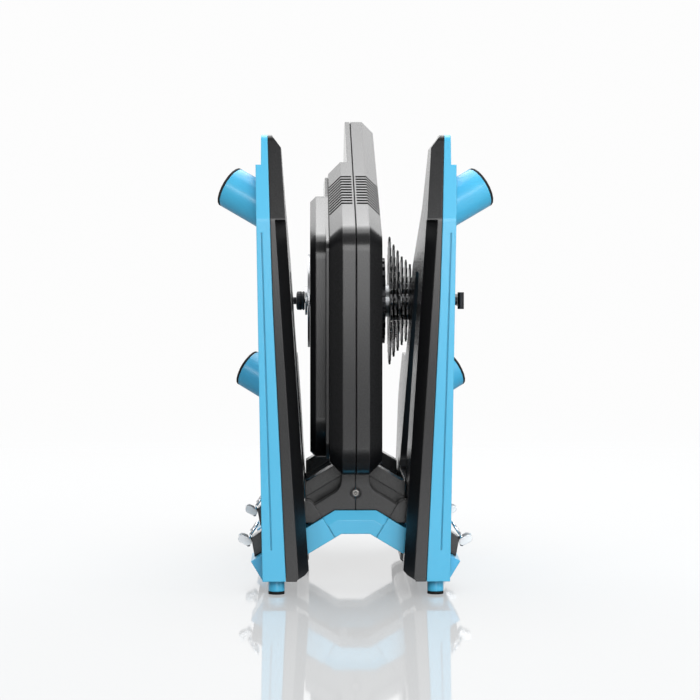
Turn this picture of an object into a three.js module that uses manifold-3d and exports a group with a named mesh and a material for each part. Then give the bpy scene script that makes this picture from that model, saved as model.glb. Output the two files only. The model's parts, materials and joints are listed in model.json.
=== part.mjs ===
// A folding direct drive bike trainer, folded for storage: a slim belt drive body on two arches,
// between two upright legs that fold out. Millimetres, with +X on the cassette side,
// +Y to the front and +Z up. Depths run forward from the rear edges of the folded legs, and
// heights run up from a datum just above the floor, which the rest pads reach below.
import * as THREE from "three";
import { mergeVertices } from "three/addons/utils/BufferGeometryUtils.js";
import Module from "manifold-3d";

const wasm = await Module();
wasm.setup();

// Driving sizes of the body
const bodyLength = 607;
const bodyRear = 0;
const bodyTop = 455;
const bodyFloor = 108;
const shellHalf = 24.5;
const shellWall = 3;
const shellChamferShare = 0.49; // of the half width
const fit = 0.4; // gap between pieces that touch
const overrun = 6; // how far a cut runs past what it cuts
const finStep = 48; // how far the left shell stops below the top of the right one
const finLip = 5.5;
const coverInset = 27;
const coverTopShare = 0.758; // of the body's height
const coverRoom = 6.8;
const coverLift = 1;
const coverFlange = 20; // how far its thin flange reaches past it, on the body's flat side
const coverFlangeThick = 3;

// Driving sizes of the arches and the joint of each leg
const archTop = 73.2;
const archDepth = 60;
const archThick = 21.8;
const archCrownHalf = 19.5;
const archSlope = THREE.MathUtils.degToRad(31);
const archLegRun = 92.5;
const rearArchAt = 35;
const frontArchAt = 292;
const hingeSetback = 21.8;
const pinRadius = 3.6;
const notchPlay = 1.6;

// Driving sizes of the folding legs
const legTop = 426;
const legBottom = 11;
const legPastFoot = 38; // how far the front corner of a leg reaches past its lower edge
const frameWall = 4;
const coverWall = 2.5;
const foldAngle = THREE.MathUtils.degToRad(120);
const footRadius = 20;
const footWall = 3.2;
const footCapThick = 4;
const rearFoot = [116.2, 53, 377];
const frontFoot = [107.5, 336, 191.5];
const stubRadius = 7.6;
const stubTip = 2.4;
const stubOut = 74.4;
const padDrop = 2.5; // how far the rest pads reach below the datum of the heights

// Driving sizes of the drive, with its two shafts placed as shares of the body's length and height
const axleDepthShare = 0.53542;
const axleHeightShare = 0.44957;
const axleRadius = 6;
const axleBore = 2.9;
const hubRadius = 10;
const pulleyRoom = 17; // from the large pulley to the outside of the belt cover
const beltThick = 2.4;
const beltWidth = 8;
const beltGap = 3.5;
const smallPulleyRadius = 16;
const wheelDepthShare = 0.18;
const wheelHeightShare = 0.26513;
const wheelRoom = 11.03; // from the flywheel to the outside of the body
const wheelWidthShare = 0.653; // of the body's half width
const shaftRadius = 6;

// Driving sizes of the cassette
const chainPitch = 12.7;
const cogTeeth = [32, 28, 25, 22, 20, 18, 16, 14, 12, 11];
const cogStep = 4.3;
const cogThick = 1.8;
const freehubRadius = 17;
const freehubGap = 2.1;
const sensorGap = 4.4;
const sensorWidth = 4.5;
const cogGap = 4.3;
const lockringWidth = 3.6;

// Places along the axle, one piece after another from the sides of the body
const discThick = 2.3;
const flangeWidth = 2.3;
const axlePast = 2.5;
const beltOut = shellHalf + beltGap + beltWidth;
const coverOut = beltOut + coverRoom;
const axleLeft = coverOut + 2 * fit + discThick + flangeWidth;
const freehubStart = shellHalf + freehubGap;
const sensorStart = freehubStart + sensorGap;
const cogStart = sensorStart + sensorWidth + cogGap;
const freehubEnd = cogStart + cogStep * (cogTeeth.length - 1) + cogThick;
const axleRight = freehubEnd + fit + lockringWidth + axlePast;

const white = 0xd9dce0;
const finishes = {
  bluePaint: { color: 0x5fc6f0, roughness: 0.42, metalness: 0.1 },
  blackPlastic: { color: 0x2c2d31, roughness: 0.62, metalness: 0 },
  steel: { color: 0x9a9da2, roughness: 0.32, metalness: 1 },
  chrome: { color: white, roughness: 0.15, metalness: 1 },
  blackMetal: { color: 0x17181a, roughness: 0.4, metalness: 0.6 },
  castMetal: { color: 0x6d7074, roughness: 0.6, metalness: 0.8 },
  rubber: { color: 0x1b1b1d, roughness: 0.9, metalness: 0 },
  board: { color: 0x1f5a3c, roughness: 0.5, metalness: 0 },
  copper: { color: 0xa8663a, roughness: 0.4, metalness: 0.9 },
};

// Solids from three.js geometries
function solid(geometry) {
  const bare = geometry.index ? geometry.toNonIndexed() : geometry.clone();
  bare.deleteAttribute("normal");
  bare.deleteAttribute("uv");
  const merged = mergeVertices(bare, 1e-4);
  const vertProperties = new Float32Array(merged.attributes.position.array);
  const triVerts = new Uint32Array(merged.index.array);
  return new wasm.Manifold(new wasm.Mesh({ numProp: 3, vertProperties, triVerts }));
}

function geometryOf(made) {
  const mesh = made.getMesh();
  const geometry = new THREE.BufferGeometry();
  geometry.setAttribute("position", new THREE.BufferAttribute(mesh.vertProperties, mesh.numProp));
  geometry.setIndex(new THREE.BufferAttribute(mesh.triVerts, 1));
  const faceted = geometry.toNonIndexed();
  faceted.computeVertexNormals();
  return faceted;
}

const join = (...parts) => parts.reduce((sum, part) => sum.add(part));
const cut = (from, ...parts) => parts.reduce((rest, part) => rest.subtract(part), from);

// Rounds the corners [u, v, radius] of a closed outline with arcs
function rounded(corners, steps = 3) {
  const points = [];
  corners.forEach(([u, v, radius], i) => {
    const here = new THREE.Vector2(u, v);
    if (!radius) {
      points.push(here);
      return;
    }
    const back = corners.at(i - 1);
    const next = corners[(i + 1) % corners.length];
    const toBack = new THREE.Vector2(back[0] - u, back[1] - v).normalize();
    const toNext = new THREE.Vector2(next[0] - u, next[1] - v).normalize();
    const half = Math.acos(THREE.MathUtils.clamp(toBack.dot(toNext), -1, 1)) / 2;
    const middle = toBack.clone().add(toNext).normalize();
    const centre = here.clone().addScaledVector(middle, radius / Math.sin(half));
    const first = here.clone().addScaledVector(toBack, radius / Math.tan(half)).sub(centre);
    const last = here.clone().addScaledVector(toNext, radius / Math.tan(half)).sub(centre);
    const turn = Math.atan2(first.cross(last), first.dot(last));
    for (let k = 0; k <= steps; k += 1) {
      points.push(first.clone().rotateAround(new THREE.Vector2(), (turn * k) / steps).add(centre));
    }
  });
  return points;
}

// Moves every side of an outline of corners inwards, and its radii with it
function inset(corners, distance) {
  const area = corners.reduce((sum, [u, v], i) => {
    const next = corners[(i + 1) % corners.length];
    return sum + u * next[1] - next[0] * v;
  }, 0);
  const side = Math.sign(area);
  return corners.map(([u, v, radius], i) => {
    const back = corners.at(i - 1);
    const next = corners[(i + 1) % corners.length];
    const before = new THREE.Vector2(u - back[0], v - back[1]).normalize();
    const after = new THREE.Vector2(next[0] - u, next[1] - v).normalize();
    const normalA = new THREE.Vector2(-before.y, before.x).multiplyScalar(side);
    const normalB = new THREE.Vector2(-after.y, after.x).multiplyScalar(side);
    const middle = normalA.clone().add(normalB);
    const scale = distance / (middle.lengthSq() / 2);
    const outward = Math.sign(before.cross(after)) * side;
    const changed = radius ? Math.max(radius - outward * distance, 0) : 0;
    return [u + middle.x * scale, v + middle.y * scale, changed];
  });
}

const fromShares = (shares, start, length, low, height) =>
  shares.map(([u, v, r]) => [start + u * length, low + v * height, r * height]);

function shapeOf(points, holes) {
  const shape = new THREE.Shape(THREE.ShapeUtils.isClockWise(points) ? [...points].reverse() : points);
  holes.forEach((hole) => shape.holes.push(new THREE.Path(hole)));
  return shape;
}

// A prism of a (depth, height) outline between two X values
function acrossX(points, from, to, holes = []) {
  const depth = to - from;
  const geometry = new THREE.ExtrudeGeometry(shapeOf(points, holes), { depth, bevelEnabled: false });
  const turn = new THREE.Matrix4().makeBasis(
    new THREE.Vector3(0, 1, 0),
    new THREE.Vector3(0, 0, 1),
    new THREE.Vector3(1, 0, 0),
  );
  geometry.applyMatrix4(turn).translate(from, 0, 0);
  return solid(geometry);
}

// The same prism with both its edges chamfered
function chamferedX(points, from, to, chamfer, setBack = chamfer) {
  const geometry = new THREE.ExtrudeGeometry(new THREE.Shape(points), {
    depth: to - from - 2 * chamfer,
    bevelThickness: chamfer,
    bevelSize: setBack,
    bevelOffset: -setBack,
    bevelSegments: 1,
  });
  const turn = new THREE.Matrix4().makeBasis(
    new THREE.Vector3(0, 1, 0),
    new THREE.Vector3(0, 0, 1),
    new THREE.Vector3(1, 0, 0),
  );
  geometry.applyMatrix4(turn).translate(from + chamfer, 0, 0);
  return solid(geometry);
}

// A prism of an (X, height) outline between two depths
function acrossY(points, from, to, holes = []) {
  const depth = to - from;
  const geometry = new THREE.ExtrudeGeometry(shapeOf(points, holes), { depth, bevelEnabled: false });
  const turn = new THREE.Matrix4().makeBasis(
    new THREE.Vector3(1, 0, 0),
    new THREE.Vector3(0, 0, 1),
    new THREE.Vector3(0, -1, 0),
  );
  geometry.applyMatrix4(turn).translate(0, to, 0);
  return solid(geometry);
}

const plain = (corners) => corners.map(([u, v]) => new THREE.Vector2(u, v));
function block(x0, x1, y0, y1, z0, z1) {
  const box = new THREE.BoxGeometry(x1 - x0, y1 - y0, z1 - z0);
  return solid(box.translate((x0 + x1) / 2, (y0 + y1) / 2, (z0 + z1) / 2));
}

// A solid of revolution from a closed profile of [along, radius], about an axis through a point
function turnedOn(profile, at, axis, segments) {
  const points = [...profile, profile[0]].map(([along, radius]) => new THREE.Vector2(radius, along));
  const turn = new THREE.Quaternion().setFromUnitVectors(new THREE.Vector3(0, 1, 0), axis);
  const geometry = new THREE.LatheGeometry(points, segments).applyQuaternion(turn);
  return solid(geometry.translate(at.x, at.y, at.z));
}

const turned = (profile, depth, height, segments = 24) =>
  turnedOn(profile, new THREE.Vector3(0, depth, height), new THREE.Vector3(1, 0, 0), segments);

const ring = (x0, x1, inner, outer, depth, height, segments) =>
  turned([[x0, inner], [x0, outer], [x1, outer], [x1, inner]], depth, height, segments);

// A rod between two points
function rod(from, to, radius, segments = 16) {
  const a = new THREE.Vector3(...from);
  const b = new THREE.Vector3(...to);
  const along = b.clone().sub(a);
  const geometry = new THREE.CylinderGeometry(radius, radius, along.length(), segments);
  geometry.applyQuaternion(
    new THREE.Quaternion().setFromUnitVectors(new THREE.Vector3(0, 1, 0), along.clone().normalize()),
  );
  const middle = a.add(b).multiplyScalar(0.5);
  return solid(geometry.translate(middle.x, middle.y, middle.z));
}

function piece(group, name, made, finish) {
  const mesh = new THREE.Mesh(geometryOf(made), new THREE.MeshStandardMaterial(finishes[finish]));
  mesh.name = name;
  group.add(mesh);
}

const trainer = new THREE.Group();
const rightSide = new THREE.Group();
const leftSide = new THREE.Group();
leftSide.scale.x = -1;
trainer.add(rightSide, leftSide);

// A piece of the right side and its mirror image on the left
function pair(name, made, finish) {
  piece(rightSide, "right_" + name, made, finish);
  piece(leftSide, "left_" + name, made, finish);
}

// The body's side view, as shares of its length and height, with corner radii as shares of the height
const bodyShares = [
  [0, 0.055, 0.065],
  [0, 0.66, 0.075],
  [0.634, 1, 0.1],
  [0.74, 1, 0.12],
  [0.93, 0.8, 0.2],
  [1, 0.6, 0.1],
  [1, 0.46, 0.1],
  [0.95, 0.2, 0.2],
  [0.8, 0.02, 0.15],
  [0.7, 0, 0],
  [0.03, 0, 0.065],
];
const bodyHeight = bodyTop - bodyFloor;
const axleDepth = bodyRear + axleDepthShare * bodyLength;
const axleHeight = bodyFloor + axleHeightShare * bodyHeight;
const wheelDepth = bodyRear + wheelDepthShare * bodyLength;
const wheelHeight = bodyFloor + wheelHeightShare * bodyHeight;
const shellChamfer = shellChamferShare * shellHalf;
const bodyCorners = fromShares(bodyShares, bodyRear, bodyLength, bodyFloor, bodyHeight);
const bodyOutline = rounded(bodyCorners, 3);
const bodyInside = rounded(inset(bodyCorners, shellWall), 3);
const bodyFront = bodyRear + bodyLength;
const seamHalf = fit / 2;
const seamGroove = 0.6;
const seamGrooveDeep = 1.4;
const shellInner = shellHalf - shellWall;
const leftTop = bodyTop - finStep;

// How far a point lies from the nearest side of an outline
function roomInside(points, depth, height) {
  const here = new THREE.Vector3(depth, height, 0);
  const near = new THREE.Vector3();
  const corners = points.map(({ x, y }) => new THREE.Vector3(x, y, 0));
  return corners.reduce((least, corner, i) => {
    const side = new THREE.Line3(corner, corners[(i + 1) % corners.length]);
    return Math.min(least, side.closestPointToPoint(here, true, near).distanceTo(here));
  }, Infinity);
}
const wheelRadius = roomInside(bodyOutline, wheelDepth, wheelHeight) - wheelRoom;
const wheelWidth = wheelWidthShare * shellHalf;

// The section of one half of an arch: crown, sloping leg and square end
const slopeOut = new THREE.Vector2(Math.cos(archSlope), -Math.sin(archSlope));
const slopeUp = new THREE.Vector2(Math.sin(archSlope), Math.cos(archSlope));
const crownCorner = new THREE.Vector2(archCrownHalf, archTop);
const onLeg = (along, up) =>
  crownCorner.clone().addScaledVector(slopeOut, along).addScaledVector(slopeUp, up);
const legEndTop = onLeg(archLegRun, 0);
const legEndLow = onLeg(archLegRun, -archThick);
const archFloor = archTop - archThick;
const underStart = onLeg(0, -archThick);
const underRun = (archFloor - underStart.y) / Math.sin(archSlope);
const underCorner = underStart.clone().addScaledVector(slopeOut, -underRun);
const hinge = onLeg(archLegRun - hingeSetback, -archThick / 2);
const hingeBore = pinRadius + fit;

// The place on top of an arch's leg, seat included, at an X value
const seatAt = (x) => onLeg((x - archCrownHalf - fit * slopeUp.x) / slopeOut.x, fit);

// The arms of the body that stand on an arch, each with a thicker collar at its end
const armNeckPast = 1;
const armNeck = shellChamfer + armNeckPast;
const armNeckTop = bodyFloor + 8;
const armThick = 13.9;
const armEnd = 14.4;
const armFillet = 14;
const armDepth = 0.4 * archDepth;
const armSetback = 5;
const armRecess = 1;
const collarTall = 19;
const collarRound = 9;
const collarLow = archTop - 12.2;
const collarEnd = 62;
function armSection() {
  const end = onLeg(armEnd + armRecess, fit);
  const topEnd = onLeg(armEnd + armRecess, armThick);
  const shoulderRise = (topEnd.x - armNeck) * Math.tan(archSlope);
  return rounded([
    [seamHalf, archTop + fit, 0],
    [archCrownHalf, archTop + fit, 0],
    [end.x, end.y, 0],
    [topEnd.x, topEnd.y, 0],
    [armNeck, topEnd.y + shoulderRise, armFillet],
    [armNeck, armNeckTop, 0],
    [seamHalf, armNeckTop, 0],
  ]);
}
function collarSection() {
  const inner = onLeg(armEnd, collarTall);
  const start = onLeg(armEnd, fit);
  const low = seatAt(archCrownHalf + (archTop - collarLow) / Math.tan(archSlope));
  return rounded([
    [start.x, start.y, 0],
    [low.x, low.y, 0],
    [collarEnd, low.y, 0],
    [collarEnd, inner.y, collarRound],
    [inner.x, inner.y, collarRound],
  ]);
}
const footRearAt = rearArchAt + armSetback;
const footFrontAt = frontArchAt + archDepth - armSetback - armDepth;

// Behind each arm, a strut that flares out of the body over a thinner web down to the arch
const strutTop = bodyFloor + 10;
const strutInner = armNeck;
const strutOuter = 47.6;
const strutThick = 13.9;
const strutSetback = 3;
const strutDepth = archDepth - armDepth - armSetback - strutSetback;
const webRecess = 4;
const strutFall = (strutOuter - strutInner) * Math.tan(archSlope);
const strutSection = plain([
  [strutInner, strutTop - strutThick],
  [strutOuter, strutTop - strutThick - strutFall],
  [strutOuter, strutTop - strutFall],
  [strutInner, strutTop],
]);
const webSection = plain([
  [strutInner, archTop + fit],
  [archCrownHalf, archTop + fit],
  [strutOuter, seatAt(strutOuter).y],
  [strutOuter, strutTop - strutThick - strutFall + webRecess],
  [strutInner, strutTop - strutThick + webRecess],
]);
const strutRearAt = footRearAt + armDepth;
const strutFrontAt = footFrontAt - strutDepth;

const screwHeight = 89.5;
const screwHead = 3.6;
const screwShank = 2;
const screwLength = 16;
const chassisOut = shellChamfer;
const chassisThick = 8;
const chassisFoot = 22;
const chassisGap = 2;
const ventCount = 11;
const ventPitch = 9.4;
const ventWidth = 5;
const ventStartShare = 0.141;
const ventInner = 2.2;

// Cooling slots across the sloping top, beside the seam
function ventCuts() {
  const [, from, to] = bodyCorners;
  const along = new THREE.Vector2(to[0] - from[0], to[1] - from[1]).normalize();
  const start = new THREE.Vector2(bodyRear + ventStartShare * bodyLength, 0);
  start.y = from[1] + ((start.x - from[0]) * along.y) / along.x;
  const cuts = [];
  for (let k = 0; k < ventCount; k += 1) {
    const at = start.clone().addScaledVector(along, k * ventPitch);
    const half = along.clone().multiplyScalar(ventWidth / 2);
    const deep = new THREE.Vector2(-along.y, along.x).multiplyScalar(shellChamfer + seamHalf);
    cuts.push(
      plain([
        [at.x - half.x - deep.x, at.y - half.y - deep.y],
        [at.x + half.x - deep.x, at.y + half.y - deep.y],
        [at.x + half.x + deep.x, at.y + half.y + deep.y],
        [at.x - half.x + deep.x, at.y - half.y + deep.y],
      ]),
    );
  }
  return cuts;
}

const boardDepthShare = 0.67875;
const boardHeightShare = 0.63977;
const boardLength = 90;
const boardWidth = 62;
const boardDepth = bodyRear + boardDepthShare * bodyLength;
const boardHeight = bodyFloor + boardHeightShare * bodyHeight;
const boardThick = 1.8;
const boardAt = 8;
const boardPost = 4;
const boardCorner = 8;
const socketAhead = 23;
const socketOut = 6.9;
const socketRadius = 4.2;
const socketBore = 2.2;
const socketLong = 18;

const postSpots = [
  [boardDepth + boardCorner, boardHeight + boardCorner],
  [boardDepth + boardLength - boardCorner, boardHeight + boardWidth - boardCorner],
];

// Half of the outer form, without its arms and struts, and with half of the groove along the seam
const grooveFloor = rounded(inset(bodyCorners, seamGrooveDeep), 3);
function shellBlank(side, outline) {
  const half = (near, far) => {
    const [low, high] = side > 0 ? [near, far] : [-far, -near];
    return block(low, high, bodyRear - overrun, bodyFront + overrun, 0, bodyTop + overrun);
  };
  const plate = chamferedX(outline, -shellHalf, shellHalf, shellChamfer);
  return join(
    plate.intersect(half(seamGroove, shellHalf + overrun)),
    acrossX(grooveFloor, -shellWall, shellWall).intersect(plate).intersect(half(seamHalf, shellWall)),
  );
}

function limbs(side) {
  const face = (points) => (side > 0 ? points : points.map((p) => new THREE.Vector2(-p.x, p.y)).reverse());
  const feet = [footRearAt, footFrontAt].flatMap((at) => [
    acrossY(face(armSection()), at + armRecess, at + armDepth - armRecess),
    acrossY(face(collarSection()), at, at + armDepth),
  ]);
  const struts = [strutRearAt, strutFrontAt].map((at) => acrossY(face(strutSection), at, at + strutDepth));
  return [
    ...feet,
    ...struts,
    acrossY(face(webSection), strutRearAt + webRecess, strutRearAt + strutDepth - webRecess),
    acrossY(face(webSection), strutFrontAt + webRecess, strutFrontAt + strutDepth - webRecess),
  ];
}

const onScrew = (from, to, radius, segments) =>
  rod([0, footRearAt + from, screwHeight], [0, footRearAt + to, screwHeight], radius, segments);
const screwRecess = onScrew(-overrun, screwHead, screwHead * 1.5, 16);
const screwHole = onScrew(0, screwLength + fit, screwShank + fit, 16);
const onAxle = (from, to, radius, segments) =>
  rod([from, axleDepth, axleHeight], [to, axleDepth, axleHeight], radius, segments);
const onWheel = (from, to, radius, segments) =>
  rod([from, wheelDepth, wheelHeight], [to, wheelDepth, wheelHeight], radius, segments);
const socketDepth = frontArchAt + archDepth + socketAhead;

function rightShell() {
  const inside = chamferedX(bodyInside, -shellInner, shellInner, shellChamfer);
  const posts = postSpots.map(([depth, height]) =>
    rod([boardAt + fit, depth, height], [shellInner + fit, depth, height], boardPost, 10),
  );
  const vents = ventCuts().map((points) => acrossX(points, ventInner, shellHalf + overrun));
  const shell = cut(
    join(cut(shellBlank(1, bodyOutline), inside, ...vents), ...limbs(1), ...posts),
    screwRecess,
    screwHole,
    onAxle(shellInner - overrun, shellHalf + overrun, hubRadius + 2 * fit),
    rod([socketOut, socketDepth, bodyFloor + socketLong], [socketOut, socketDepth, 0], socketRadius + fit),
  );
  return shell;
}

// The left shell stops lower, apart from a thin lip beside the seam
function leftShell() {
  const lower = bodyCorners.map(([u, v, r]) => [u, v, r]);
  const [, low, high, top, front] = lower;
  const stepDepth = low[0] + ((leftTop - low[1]) / (high[1] - low[1])) * (high[0] - low[0]);
  lower[2] = [stepDepth, leftTop, shellChamfer * 1.6];
  lower[3] = [top[0], leftTop, shellChamfer * 3];
  lower[4] = [front[0], front[1] - finStep / 3, shellChamfer * 3];
  const outline = rounded(lower, 3);
  const inside = chamferedX(rounded(inset(lower, shellWall), 3), -shellInner, shellInner, shellChamfer);
  const lip = join(acrossX(bodyOutline, -finLip, -seamGroove), acrossX(grooveFloor, -finLip, -seamHalf));
  const lipInside = acrossX(bodyInside, -finLip + shellWall / 2, overrun);
  const vents = ventCuts().map((points) => acrossX(points, -shellHalf - overrun, -ventInner));
  const body = cut(join(shellBlank(-1, outline), lip), inside, lipInside, ...vents);
  return cut(
    join(body, ...limbs(-1)),
    screwRecess,
    screwHole,
    onAxle(-shellHalf - overrun, -shellInner + overrun, hubRadius + 2 * fit),
    onWheel(-shellHalf - overrun, -shellInner + overrun, shaftRadius + 2 * fit),
    ...[rearArchAt, frontArchAt].map((at) => chassisSlot(at)),
  );
}

const rearChassisFoot = footRearAt + armDepth + chassisGap;
const frontChassisFoot = footFrontAt - chassisGap - chassisFoot;
const chassisFootAt = (at) => (at === rearArchAt ? rearChassisFoot : frontChassisFoot);
const chassisSlot = (at) =>
  block(
    -chassisOut - fit,
    -chassisOut + chassisThick + fit,
    chassisFootAt(at) - fit,
    chassisFootAt(at) + chassisFoot + fit,
    0,
    bodyFloor + shellWall + overrun,
  );

piece(trainer, "right_shell", rightShell(), "blackPlastic");
piece(trainer, "left_shell", leftShell(), "blackPlastic");

// The cover over the belt, on the left shell
const coverShares = [
  [0, 0.13, 0.08],
  [0, 0.83, 0.1],
  [0.23, 1, 0.1],
  [0.86, 1, 0.2],
  [1, 0.7, 0.3],
  [1, 0.3, 0.25],
  [0.88, 0, 0.2],
  [0.06, 0, 0.1],
];
const coverCorners = fromShares(
  coverShares,
  bodyRear + coverInset,
  bodyLength - 2 * coverInset,
  bodyFloor + shellChamfer + coverLift,
  coverTopShare * bodyHeight - shellChamfer - coverLift,
);
const coverEdge = 5.5;
const coverFace = rounded(coverCorners, 4);
const flangeFrom = -shellHalf - fit - coverFlangeThick;
const coverFlangeSolid = acrossX(rounded(inset(coverCorners, -coverFlange), 4), flangeFrom, 0).intersect(
  acrossX(rounded(inset(bodyCorners, shellChamfer + coverFlangeThick), 3), flangeFrom, 0),
);
const coverOutside = join(
  chamferedX(coverFace, -coverOut, -shellHalf + shellChamfer, coverEdge),
  coverFlangeSolid,
).intersect(block(-coverOut - overrun, -shellHalf - fit, bodyRear, bodyFront, 0, bodyTop));
const coverInsideSolid = acrossX(rounded(inset(coverCorners, shellWall + 1), 4), -coverOut + shellWall, 0);
piece(
  trainer,
  "belt_cover",
  cut(
    coverOutside,
    coverInsideSolid,
    onAxle(-coverOut - overrun, -coverOut + shellWall + overrun, axleRadius + fit),
  ),
  "blackPlastic",
);

const discRadius = 49;
piece(
  trainer,
  "axle_disc",
  ring(-coverOut - fit - discThick, -coverOut - fit, axleRadius + fit, discRadius, axleDepth, axleHeight, 32),
  "steel",
);

// The fixed hollow axle, with its left flange and right end cap
const flangeRadius = 15;
const endCapRadius = 9;
const endCapWidth = 3;
piece(
  trainer,
  "axle",
  turned(
    [
      [-axleLeft, axleBore],
      [-axleLeft, flangeRadius],
      [-coverOut - 2 * fit - discThick, flangeRadius],
      [-coverOut - 2 * fit - discThick, axleRadius],
      [axleRight - endCapWidth, axleRadius],
      [axleRight - endCapWidth, endCapRadius],
      [axleRight, endCapRadius],
      [axleRight, axleBore],
    ],
    axleDepth,
    axleHeight,
    24,
  ),
  "steel",
);

// The chassis inside the left shell, which stands on both arches and carries the bearings
const bearingWidth = 8;
const hubBearing = 18;
const shaftBearing = 13;
const bossWall = 6;
const chassisPlay = 1;
const chassisEnd = shellInner - chassisPlay;
const chassisRib = 28;
const chassisPlate = [
  [rearChassisFoot, archTop + fit],
  [rearChassisFoot + chassisFoot, archTop + fit],
  [rearChassisFoot + chassisFoot, bodyFloor + shellWall * 2],
  [frontChassisFoot, bodyFloor + shellWall * 2],
  [frontChassisFoot, archTop + fit],
  [frontChassisFoot + chassisFoot, archTop + fit],
  [frontChassisFoot + chassisFoot, bodyFloor + chassisFoot],
  [axleDepth + hubBearing, axleHeight - hubBearing],
  [axleDepth, axleHeight + hubBearing],
  [wheelDepth + wheelRadius, wheelHeight + wheelRadius * 0.8],
  [wheelDepth - shaftBearing, wheelHeight + shaftBearing],
  [wheelDepth - shaftBearing, wheelHeight - shaftBearing],
  [rearChassisFoot, bodyFloor + chassisFoot],
];
const chassisWindow = plain([
  [wheelDepth + shaftBearing + chassisRib, bodyFloor + chassisRib],
  [frontChassisFoot - chassisRib, bodyFloor + chassisRib],
  [axleDepth - hubBearing - chassisRib, axleHeight - hubBearing - chassisRib],
  [wheelDepth + shaftBearing + chassisRib, wheelHeight + shaftBearing],
]);
const hubBoss = ring(-chassisEnd, chassisEnd, hubBearing, hubBearing + bossWall, axleDepth, axleHeight);
const wheelBossWall = shaftBearing + bossWall;
const wheelBoss = ring(-chassisEnd, -bearingWidth / 2, shaftBearing, wheelBossWall, wheelDepth, wheelHeight);
piece(
  trainer,
  "chassis",
  join(
    cut(
      acrossX(plain(chassisPlate), -chassisOut, -chassisOut + chassisThick, [chassisWindow]),
      onAxle(-chassisEnd, chassisEnd, hubBearing + fit),
      onWheel(-chassisEnd, chassisEnd, shaftBearing + fit),
    ),
    hubBoss,
    wheelBoss,
  ),
  "castMetal",
);

for (const [name, side] of [["left", -1], ["right", 1]]) {
  const from = side > 0 ? chassisEnd - fit - bearingWidth : fit - chassisEnd;
  piece(
    trainer,
    name + "_hub_bearing",
    ring(from, from + bearingWidth, hubRadius + fit, hubBearing - fit, axleDepth, axleHeight, 22),
    "steel",
  );
}
const shaftBearingAt = [-chassisEnd + fit, -chassisEnd + fit + bearingWidth + fit];
["outer", "inner"].forEach((name, i) => {
  const at = shaftBearingAt[i];
  piece(
    trainer,
    name + "_shaft_bearing",
    ring(at, at + bearingWidth - fit, shaftRadius + fit, shaftBearing - fit, wheelDepth, wheelHeight, 24),
    "steel",
  );
});

// What turns with the belt: hub shaft and large pulley, belt, shaft with its small pulley, and flywheel
const hubPast = 0.9;
const hubShaftEnd = shellHalf + hubPast;
piece(
  trainer,
  "hub_shaft",
  ring(-coverOut + shellWall + fit, hubShaftEnd, axleRadius + fit, hubRadius, axleDepth, axleHeight, 22),
  "steel",
);
const pulleyRadius = roomInside(coverFace, axleDepth, axleHeight) - pulleyRoom;
const pulleyRim = 9;
const pulleyHub = 8;
const pulleyWeb = 3;
const beltIn = beltOut - beltWidth;
const pulleyMiddle = (beltOut + beltIn) / 2;
piece(
  trainer,
  "large_pulley",
  turned(
    [
      [-beltOut - fit, hubRadius + fit],
      [-beltOut - fit, hubRadius + pulleyHub],
      [-pulleyMiddle - pulleyWeb / 2, hubRadius + pulleyHub],
      [-pulleyMiddle - pulleyWeb / 2, pulleyRadius - pulleyRim],
      [-beltOut - fit, pulleyRadius - pulleyRim],
      [-beltOut - fit, pulleyRadius],
      [-beltIn + fit, pulleyRadius],
      [-beltIn + fit, pulleyRadius - pulleyRim],
      [-pulleyMiddle + pulleyWeb / 2, pulleyRadius - pulleyRim],
      [-pulleyMiddle + pulleyWeb / 2, hubRadius + pulleyHub],
      [-beltIn + fit, hubRadius + pulleyHub],
      [-beltIn + fit, hubRadius + fit],
    ],
    axleDepth,
    axleHeight,
    30,
  ),
  "castMetal",
);

// The belt's loop: two arcs joined by the outer tangents of the pulleys
function beltLoop(extra) {
  const large = pulleyRadius + extra;
  const small = smallPulleyRadius + extra;
  const between = new THREE.Vector2(wheelDepth - axleDepth, wheelHeight - axleHeight);
  const lean = Math.atan2(between.y, between.x);
  const open = Math.acos((large - small) / between.length());
  const points = [];
  const arc = (u, v, radius, from, to, steps) => {
    for (let k = 0; k <= steps; k += 1) {
      const angle = lean + from + ((to - from) * k) / steps;
      points.push(new THREE.Vector2(u + radius * Math.cos(angle), v + radius * Math.sin(angle)));
    }
  };
  arc(axleDepth, axleHeight, large, open, 2 * Math.PI - open, 24);
  arc(wheelDepth, wheelHeight, small, -open, open, 8);
  return points;
}
piece(
  trainer,
  "drive_belt",
  acrossX(beltLoop(fit + beltThick), -beltOut, -beltIn, [beltLoop(fit)]),
  "rubber",
);

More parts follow.
